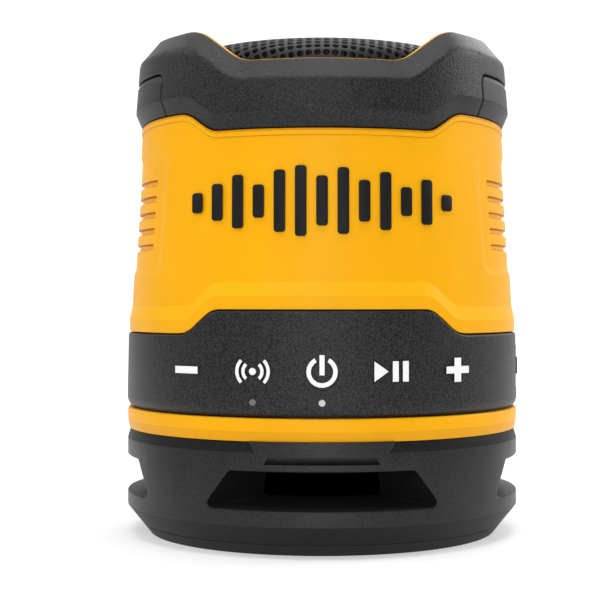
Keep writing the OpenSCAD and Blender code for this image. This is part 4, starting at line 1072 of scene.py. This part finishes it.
def make_band():
    turns = every(FINE_STEP, *mirrored(*BAND_TURNS))
    obj = solid("band_body", *quads(round_body(turns, np.array([band_section(a) for a in turns]))))
    marks = mark_outlines(FIT_GAP)
    cuts = [prism(outline + (k * KEY_PITCH, 0), KEY_Z) for k in marks for outline in marks[k]]
    cuts += [prism(disc(k * KEY_PITCH, (LIGHT_D + FIT_GAP) / 2), LIGHT_Z) for k in (-1, 0)]
    for cut in (*cuts, cover_pocket()):
        carve(obj, *cut)
    placed(obj, band_rubber, "control_band")


# Yellow collar ring with its closing plate

SIDE_STEP = 0.1
BASE_R = BODY_R - SIDE_STEP
COLLAR_IN = 3.3
COLLAR_HEM = 2.4
COLLAR_TUCK = 0.5
PLATE_EDGE = 0.3
HEM_BEND = 0.5
BROW_BEND = 0.8
DARK_SPAN = 0.1
PLATE_HOLE_R = 28.0
SEAL_T = 0.8
PLATE_T = 3.2


def make_collar():
    z_plate = Z_BAND - SEAL_T
    wall = BASE_R - COLLAR_IN
    corners = [(PLATE_HOLE_R, z_plate - PLATE_T, PLATE_EDGE), (wall, z_plate - PLATE_T, 0),
               (wall, Z_COLLAR, PLATE_EDGE), (BASE_R - COLLAR_TUCK, Z_COLLAR, PLATE_EDGE),
               (BASE_R, Z_COLLAR + COLLAR_HEM, HEM_BEND), (BASE_R, Z_BAND, BROW_BEND),
               (band_in(Z_BAND), Z_BAND, 0), (band_in(Z_BAND), z_plate, 0),
               (PLATE_HOLE_R, z_plate, PLATE_EDGE)]
    dark_within(collar_yellow, wall, wall + DARK_SPAN, INSIDE)
    obj = placed(turned("collar_ring", rounded(corners), FINE_STEP), collar_yellow, "collar")
    # Painted shade: the collar's downward facing lower facet in a darker yellow
    second_look(obj, hem_painted_shade, lambda x, y, z, up: up < 0 and math.hypot(x, y) > wall and z > Z_COLLAR)


# Black base with its sound windows

DUCT_L = 10.5
DUCT_R = BASE_R - DUCT_L
WIN_Z = (11.5, 20.8)
WIN_A = (33.6, 25.3)
WIN_X = tuple(BASE_R * math.sin(math.radians(a)) for a in WIN_A)
MOUTH_X = (14.4, 13.75)
MOUTH_Z = (14.0, 19.5)
MOUTH_PAST = 4.4
WIN_CORNER = 1.7
WIN_EDGE = 0.45
WIN_STEP = 1.5
WIN_PAST = 2.0
HEM_H = 4.75
HEM_IN = 3.8
HEM_R = BASE_R - HEM_IN
HEM_T = 2.4
BASE_T = 2.8
# Roundings of the base at its foot, its hem and its top
BASE_ROUND = (0.3, 0.8, 0.15)
BASE_STEP = 1.0
SHELF_DROP = 2.7
ROOF_T = 2.5
PAN_DROP = 0.6
PAN_Z = MOUTH_Z[0] - PAN_DROP
PAN_T = 2.4
RIB_IN = 1.8
RIB_R = DUCT_R - RIB_IN
FOOT_IN = 2.3
FOOT_ROUND = (0.3, 0.5, 0.25)
STRIP_H = 2.6
STRIP_IN = 0.8
STRIP_PAST = 1.0
HOOD_X = (16.1, 18.0)
SLOT_X = 14.0
SLOT_LOW = 3.6
SLOT_H = 1.9
SLOT_DEEP = 1.35
SLOT_LEAD = 1.2
SLOT_PAST = 1.0
SLOT_SKIN = 0.05
SLOT_BEVEL = 0.2
SLOT_STEPS = 61
DUCT_SKIN = 1.5
DUCT_ROOM = 1.0
STRIP_STEPS = 320
SILL_UP = 0.7
DUCT_Z = (WIN_Z[0] + WIN_Z[1]) / 2
DUCT_HALF = (WIN_Z[1] - WIN_Z[0]) / 2 + DUCT_ROOM


def window_outline():
    """Front view of a window: a trapezoid with round corners, and its outward directions."""
    x0, x1 = WIN_X
    corners = [(x0, WIN_Z[0]), (x1, WIN_Z[1]), (-x1, WIN_Z[1]), (-x0, WIN_Z[0])]
    outline = rounded([(*c, WIN_CORNER) for c in corners])
    long = []
    for p, q in zip(outline, np.roll(outline, -1, axis=0)):
        pieces = max(1, round(float(np.linalg.norm(q - p)) / WIN_STEP))
        long += [p + (q - p) * k / pieces for k in range(pieces)]
    long = np.array(long)
    along = np.roll(long, -1, axis=0) - np.roll(long, 1, axis=0)
    out = np.array((along[:, 1], -along[:, 0])).T / np.linalg.norm(along, axis=1)[:, None]
    return long, out


def on_round(x, z, r):
    """Points of a front view on the front of a cylinder."""
    return np.array((x, -np.sqrt(r**2 - x**2), z)).T


def window_cutter(turn):
    """Solid of one duct, from its inner mouth to the rounded lip in the outer wall."""
    outline, out = window_outline()
    share = (outline[:, 1] - WIN_Z[0]) / (WIN_Z[1] - WIN_Z[0])
    across = outline[:, 0] / (WIN_X[0] + (WIN_X[1] - WIN_X[0]) * share)
    mouth_x = across * (MOUTH_X[0] + (MOUTH_X[1] - MOUTH_X[0]) * share)
    mouth = on_round(mouth_x, MOUTH_Z[0] + share * (MOUTH_Z[1] - MOUTH_Z[0]), DUCT_R)
    loops = [mouth]
    for bend in np.radians(np.linspace(0, 90, ARC_STEPS + 1)):
        edge = outline + out * WIN_EDGE * (1 - math.cos(bend))
        loops.append(on_round(*edge.T, BASE_R - WIN_EDGE * (1 - math.sin(bend))))
    # the inner end runs on from the mouth to a flat face, the outer one to a flat face in front of the wall
    slope = loops[1] - mouth
    reach = (mouth[:, 1] + DUCT_R - MOUTH_PAST) / slope[:, 1]
    loops.insert(0, mouth - slope * reach[:, None])
    loops.append(loops[-1] * (1, 0, 1) - (0, BASE_R + WIN_PAST, 0))
    c, s = math.cos(math.radians(turn)), math.sin(math.radians(turn))
    return capped(np.array(loops) @ np.array(((c, s, 0), (-s, c, 0), (0, 0, 1))))


def slot_cutter():
    """Groove over the front window, deepest at its lower edge, with slanted ends."""
    z1, z0 = Z_COLLAR - SLOT_LOW, Z_COLLAR - SLOT_LOW - SLOT_H
    section = ((BASE_R + SLOT_PAST, z1, SLOT_LEAD), (BASE_R - SLOT_SKIN, z1, SLOT_LEAD),
               (BASE_R - SLOT_DEEP, z0 + SLOT_BEVEL, SLOT_BEVEL), (BASE_R + SLOT_PAST, z0, 0))
    shares = np.linspace(-1, 1, SLOT_STEPS)
    edges = [on_round(shares * (SLOT_X - cut), np.full(len(shares), z), r) for r, z, cut in section]
    return capped(np.stack(edges, axis=1))


def strip_cutter():
    """Sloped strip under the collar, all round but for the front hood with slanted sides."""
    low_z, high_z = Z_COLLAR - STRIP_H, Z_COLLAR + STRIP_PAST
    slope = STRIP_IN / STRIP_H
    hood = [math.degrees(math.asin(x / BASE_R)) for x in (HOOD_X[0], HOOD_X[1] + slope * STRIP_PAST)]
    corners = ((BASE_R, low_z, hood[0]), (BASE_R + STRIP_PAST, low_z, hood[0]),
               (BASE_R + STRIP_PAST, high_z, hood[1]), (BASE_R - slope * (high_z - low_z), high_z, hood[1]))
    edges = []
    for r, z, start in corners:
        turns = np.linspace(start, 360 - start, STRIP_STEPS)
        edges.append(round_body(turns, np.full((STRIP_STEPS, 1, 2), (r, z))))
    verts, faces = capped(np.concatenate(edges, axis=1))
    ends = [[(a, b, c), (a, c, d)] for a, b, c, d in faces[-2:]]
    return verts, faces[:-2] + [list(t) for pair in ends for t in pair]


def in_duct(x, y, z, up):
    """Whether a face lies in the sound ways, which get a painted shade: a darker, matt black."""
    return math.hypot(x, y) < BASE_R - DUCT_SKIN and abs(z - DUCT_Z) < DUCT_HALF


def in_shade(x, y, z, up):
    """Whether a face gets the painted shade: the strip under the collar, the hem or the sill of a window."""
    r = math.hypot(x, y)
    strip = z > Z_COLLAR - STRIP_H and r < BASE_R - STRIP_IN / 4
    hem = z < Z_BASE + HEM_H and up < FLANK_UP
    sill = up > SILL_UP and r > DUCT_R and abs(z - DUCT_Z) < DUCT_HALF
    return strip or hem or sill


def make_base():
    inner = HEM_R - HEM_T
    shelf = WIN_Z[0] - SHELF_DROP
    foot, hem, top = BASE_ROUND
    corners = [(0, PAN_Z - PAN_T, 0), (RIB_R, PAN_Z - PAN_T, 0), (RIB_R, Z_BASE, 0),
               (RIB_R + HEM_T, Z_BASE, 0), (RIB_R + HEM_T, shelf, 0), (inner, shelf, 0), (inner, Z_BASE, 0),
               (HEM_R, Z_BASE, foot), (BASE_R, Z_BASE + HEM_H, hem), (BASE_R, Z_COLLAR, top),
               (BASE_R - BASE_T, Z_COLLAR, 0), (BASE_R - BASE_T, WIN_Z[1] + ROOF_T, 0),
               (DUCT_R, MOUTH_Z[1] + ROOF_T, 0), (DUCT_R, PAN_Z, 0), (0, PAN_Z, 0)]
    obj = turned("base_shell", rounded(corners), BASE_STEP)
    windows = [window_cutter(turn) for turn in (0, 90, 180, 270)]
    for cut in (*windows, slot_cutter(), strip_cutter()):
        carve(obj, *cut)
    placed(obj, base_plastic, "base")
    # Painted shade: the sound ways in a darker, matt black
    second_look(obj, duct_painted_shade, in_duct)
    # Painted shade: the strip under the collar, the downward hem and the sills in a darker black
    second_look(obj, painted_shade_black, in_shade)


def make_foot():
    inner, outer, top = FOOT_ROUND
    corners = [(RIB_R, 0, inner), (HEM_R - FOOT_IN, 0, outer), (HEM_R, Z_BASE, top), (RIB_R, Z_BASE, 0)]
    placed(turned("foot_tread", rounded(corners), FINE_STEP), foot_rubber, "foot_ring")


# Suspensions of the driver and the radiator

DRIVER_R = high("driver_frame").x
# Edges of the driver's skins: a share of the frame's radius and a step from there
CONE_EDGE, MOUTH_EDGE, COIL_EDGE, WAIST_EDGE = (
    share * DRIVER_R + step for share, step in ((0.656, 0.6), (0.785, 0.2), (0.241, 0.75), (0.615, -0.6)))
RAD_W = 6.0
RAD_OUT = PLATE_HOLE_R - FIT_GAP
RAD_IN = PLATE_HOLE_R - RAD_W
# Thickness, lip and rise of the rolls
CONE_ROLL = (0.5, 1.6, 2.0)
RAD_ROLL = (0.7, 1.2, -2.2)
ROLL_LEAN = 0.25
ROLL_ROUND = 1.7
ROLL_FOOT = 0.5
SPIDER_WAVES = 5
SPIDER_H = 0.9
SPIDER_T = 0.4
SPIDER_FLAT = 1.0
PLEAT_STEPS = 12
SKIN_STEP = 3


def skin(path, t):
    """Closed section of a skin of a thickness along a path of radius and height."""
    along = np.gradient(path, axis=0)
    side = np.array((-along[:, 1], along[:, 0])).T / np.linalg.norm(along, axis=1)[:, None]
    return np.concatenate((path - side * t / 2, (path + side * t / 2)[::-1]))


def roll(r0, r1, lip, z, rise):
    """Path of a half round roll between two flat lips."""
    corners = [(r0 - lip, z, 0), (r0, z, ROLL_FOOT), (r0 + ROLL_LEAN, z + rise, ROLL_ROUND),
               (r1 - ROLL_LEAN, z + rise, ROLL_ROUND), (r1, z, ROLL_FOOT), (r1 + lip, z, 0)]
    return rounded(corners, closed=False)


def pleats(r0, r1, z):
    """Path of a pleated disc with a flat edge on both sides."""
    share = np.linspace(0, 1, PLEAT_STEPS * SPIDER_WAVES + 1)
    r = r0 + SPIDER_FLAT + (r1 - r0 - 2 * SPIDER_FLAT) * share
    height = z + SPIDER_H / 2 * (1 - np.cos(math.tau * SPIDER_WAVES * share))
    return np.concatenate((((r0, z),), np.array((r, height)).T, ((r1, z),)))


def suspend(name, section, look, node):
    """A turned skin that takes the place of a node of the frame."""
    obj = turned(name, section, SKIN_STEP)
    coat(obj, look)
    smooth(obj)
    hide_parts(node)
    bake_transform(obj)


def make_suspensions():
    t, lip, rise = CONE_ROLL
    section = skin(roll(CONE_EDGE, MOUTH_EDGE, lip, low("driver_surround").z + t / 2, rise), t)
    suspend("cone_roll", section, soft_rubber, "driver_surround")
    section = skin(pleats(COIL_EDGE, WAIST_EDGE, low("driver_spider").z + SPIDER_T / 2), SPIDER_T)
    suspend("coil_spider", section, spider_cloth, "driver_spider")
    t, lip, rise = RAD_ROLL
    section = skin(roll(RAD_IN, RAD_OUT, lip, high("radiator_surround").z - t / 2, rise), t)
    suspend("radiator_roll", section, soft_rubber, "radiator_surround")


make_housing()
make_bumper()
make_pad(90, "pad_right", "bumper_pad_right")
make_pad(270, "pad_left", "bumper_pad_left")
make_grille()
make_bars()
make_band()
make_collar()
make_base()
make_foot()
make_suspensions()


# Finishes of the frame's own nodes

KEYS = ("key_minus", "key_pair", "key_power", "key_play", "key_plus")
NODE_LOOKS = {
    key_white: KEYS,
    moulded("light_smoke", (0.16, 0.16, 0.165), 0.4, 0.2, 0.004): ("light_pipe_pair",),
    moulded("light_frost", (0.5, 0.51, 0.53), 0.35, 0.2, 0.004): ("light_pipe_power",),
    band_rubber: ("usb_cover",),
    moulded("tub_plastic", (0.03, 0.03, 0.031), 0.55, 0.5, 0.02): ("inner_tub", "key_switches", "usb_well"),
    moulded("seal_rubber", (0.02, 0.02, 0.02), 0.75, 0.3, 0.02): ("tub_seal", "driver_gasket"),
    metal("frame_steel", (0.03, 0.03, 0.032), 0.45, 0.4, metallic=0.3): ("driver_frame", "radiator_frame"),
    metal("plate_steel", (0.5, 0.5, 0.52), 0.38, 0.5): ("driver_top_plate", "driver_yoke"),
    moulded("ferrite", (0.035, 0.035, 0.038), 0.7, 0.4, 0.03): ("driver_magnet",),
    metal("coil_wire", (0.62, 0.26, 0.09), 0.35, 0.15): ("voice_coil",),
    moulded("cone_paper", (0.02, 0.02, 0.02), 0.8, 0.6, 0.05): ("driver_cone", "dust_cap"),
    metal("contact_brass", (0.68, 0.48, 0.16), 0.3, 0.3): ("driver_terminals",),
    metal("screw_black", (0.03, 0.03, 0.032), 0.4, 0.3): ("driver_screws",),
    metal("screw_steel", (0.42, 0.42, 0.44), 0.36, 0.3): (
        "radiator_screws", "cradle_screws", "board_screws", "collar_screws", "base_screws"),
    moulded("disc_weight", (0.03, 0.03, 0.031), 0.55, 0.5, 0.02): ("radiator_disc",),
    moulded("cell_wrap", (0.02, 0.09, 0.3), 0.3, 0.8, 0.01): ("battery_cells",),
    moulded("cradle_plastic", (0.62, 0.62, 0.6), 0.5, 0.5, 0.02): ("battery_cradle",),
    moulded("board_laminate", (0.006, 0.06, 0.025), 0.3, 0.25, 0.006): (
        "main_board", "key_board", "usb_board"),
    metal("shield_can", (0.62, 0.62, 0.64), 0.32, 0.4): ("radio_module", "usb_socket"),
    moulded("chip_resin", (0.015, 0.015, 0.016), 0.5, 0.15, 0.008): ("amplifier_chip",),
    metal("capacitor_can", (0.2, 0.2, 0.26), 0.3, 0.4, metallic=0.6): ("capacitors",),
    moulded("light_chip", (0.75, 0.72, 0.55), 0.3, 0.15, 0.003): ("light_chips",),
    moulded("wire_jacket", (0.3, 0.012, 0.012), 0.45, 0.4, 0.01): ("speaker_leads", "battery_leads"),
}
SOFT_NODES = {**dict.fromkeys(KEYS, 0.12), "key_pair": 0.1, "usb_cover": 0.3, "tub_seal": 0.2,
              "driver_gasket": 0.15}

for look, nodes in NODE_LOOKS.items():
    for node in nodes:
        coat(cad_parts[node], look)
for node, width in SOFT_NODES.items():
    soften(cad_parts[node], width)


# Stage, lights and camera

PALE = (0.6, 0.6, 0.6)
PALE_DIM = 0.985
PAPER_ROUGH = 0.9
PAPER_GRAIN = 60
STAGE_GLOW = 0.72
FLOOR_FRONT = -2500.0
FLOOR_HALF = 3000.0
SWEEP_FROM = 700.0
SWEEP_R = 900.0
SWEEP_STEPS = 31
BACKDROP_H = 2500.0


def make_stage():
    """A pale floor that sweeps up into a backdrop."""
    bend = np.radians(np.linspace(0, 90, SWEEP_STEPS))
    depth = np.concatenate(((FLOOR_FRONT,), SWEEP_FROM + SWEEP_R * np.sin(bend), (SWEEP_FROM + SWEEP_R,)))
    rise = np.concatenate(((0,), SWEEP_R * (1 - np.cos(bend)), (BACKDROP_H,)))
    points = np.array([[(x, y, z) for y, z in zip(depth, rise)] for x in (-FLOOR_HALF, FLOOR_HALF)])
    obj = solid("floor", *quads(points, wrap_u=False, wrap_v=False))
    look, node = shader("floor_paper", PAPER_ROUGH)
    tone = tinted(look, node, noise(look, PAPER_GRAIN), PALE, PALE_DIM, 1)
    link(look, tone, node, "Emission Color")
    node.inputs["Emission Strength"].default_value = STAGE_GLOW
    coat(obj, look)
    smooth(obj)


MIDDLE = (0, 0, 65)
UPPER_HALF = (0, 0, 120)
BACKDROP = (0, 1300, 150)
WORLD_GLOW = 0.12
# Place, target, size and power of each light
LIGHTS = {
    "front_box": ((-150, -800, 640), MIDDLE, (500, 350), 2.2),
    "front_strip": ((0, -900, 80), MIDDLE, (80, 260), 1.5),
    "top_box": ((0, -150, 800), MIDDLE, (500, 400), 3.3),
    "left_box": ((-600, 0, 520), MIDDLE, (250, 200), 1.2),
    "right_box": ((650, 200, 420), UPPER_HALF, (400, 250), 2.3),
    "rear_box": ((300, 700, 520), UPPER_HALF, (400, 300), 1.1),
    "backdrop_box": ((0, 500, 900), BACKDROP, (1500, 400), 12),
}


def softbox(name, place, target, size, power):
    data = bpy.data.lights.new(name, "AREA")
    data.shape = "RECTANGLE"
    data.size, data.size_y = (s * MM for s in size)
    data.energy = power
    lamp = bpy.data.objects.new(name, data)
    lamp.location = Vector(place) * MM
    lamp.rotation_euler = (Vector(place) - Vector(target)).to_track_quat("Z", "Y").to_euler()
    bpy.context.scene.collection.objects.link(lamp)


def make_light():
    world = bpy.data.worlds.new("studio")
    world.use_nodes = True
    glow = world.node_tree.nodes["Background"]
    glow.inputs["Color"].default_value = (1, 1, 1, 1)
    glow.inputs["Strength"].default_value = WORLD_GLOW
    bpy.context.scene.world = world
    for name, light in LIGHTS.items():
        softbox(name, *light)


EYE_Z = 61.6
EYE_Y = -400.0
FOCAL_PX = 1468.3
FRAME_PX = 600
AXIS_PX = (322.05, 300.6)
SENSOR = 36.0
NEAREST = 10.0


def make_camera():
    data = bpy.data.cameras.new("eye")
    data.sensor_width = SENSOR
    data.lens = SENSOR * FOCAL_PX / FRAME_PX
    data.shift_x = (FRAME_PX / 2 - AXIS_PX[0]) / FRAME_PX
    data.shift_y = (AXIS_PX[1] - FRAME_PX / 2) / FRAME_PX
    data.clip_start = NEAREST * MM
    camera = bpy.data.objects.new("eye", data)
    camera.location = (0, EYE_Y * MM, EYE_Z * MM)
    camera.rotation_euler = (math.radians(90), 0, 0)
    bpy.context.scene.collection.objects.link(camera)
    bpy.context.scene.camera = camera


make_stage()
make_light()
make_camera()
bpy.context.scene.view_settings.view_transform = "Standard"
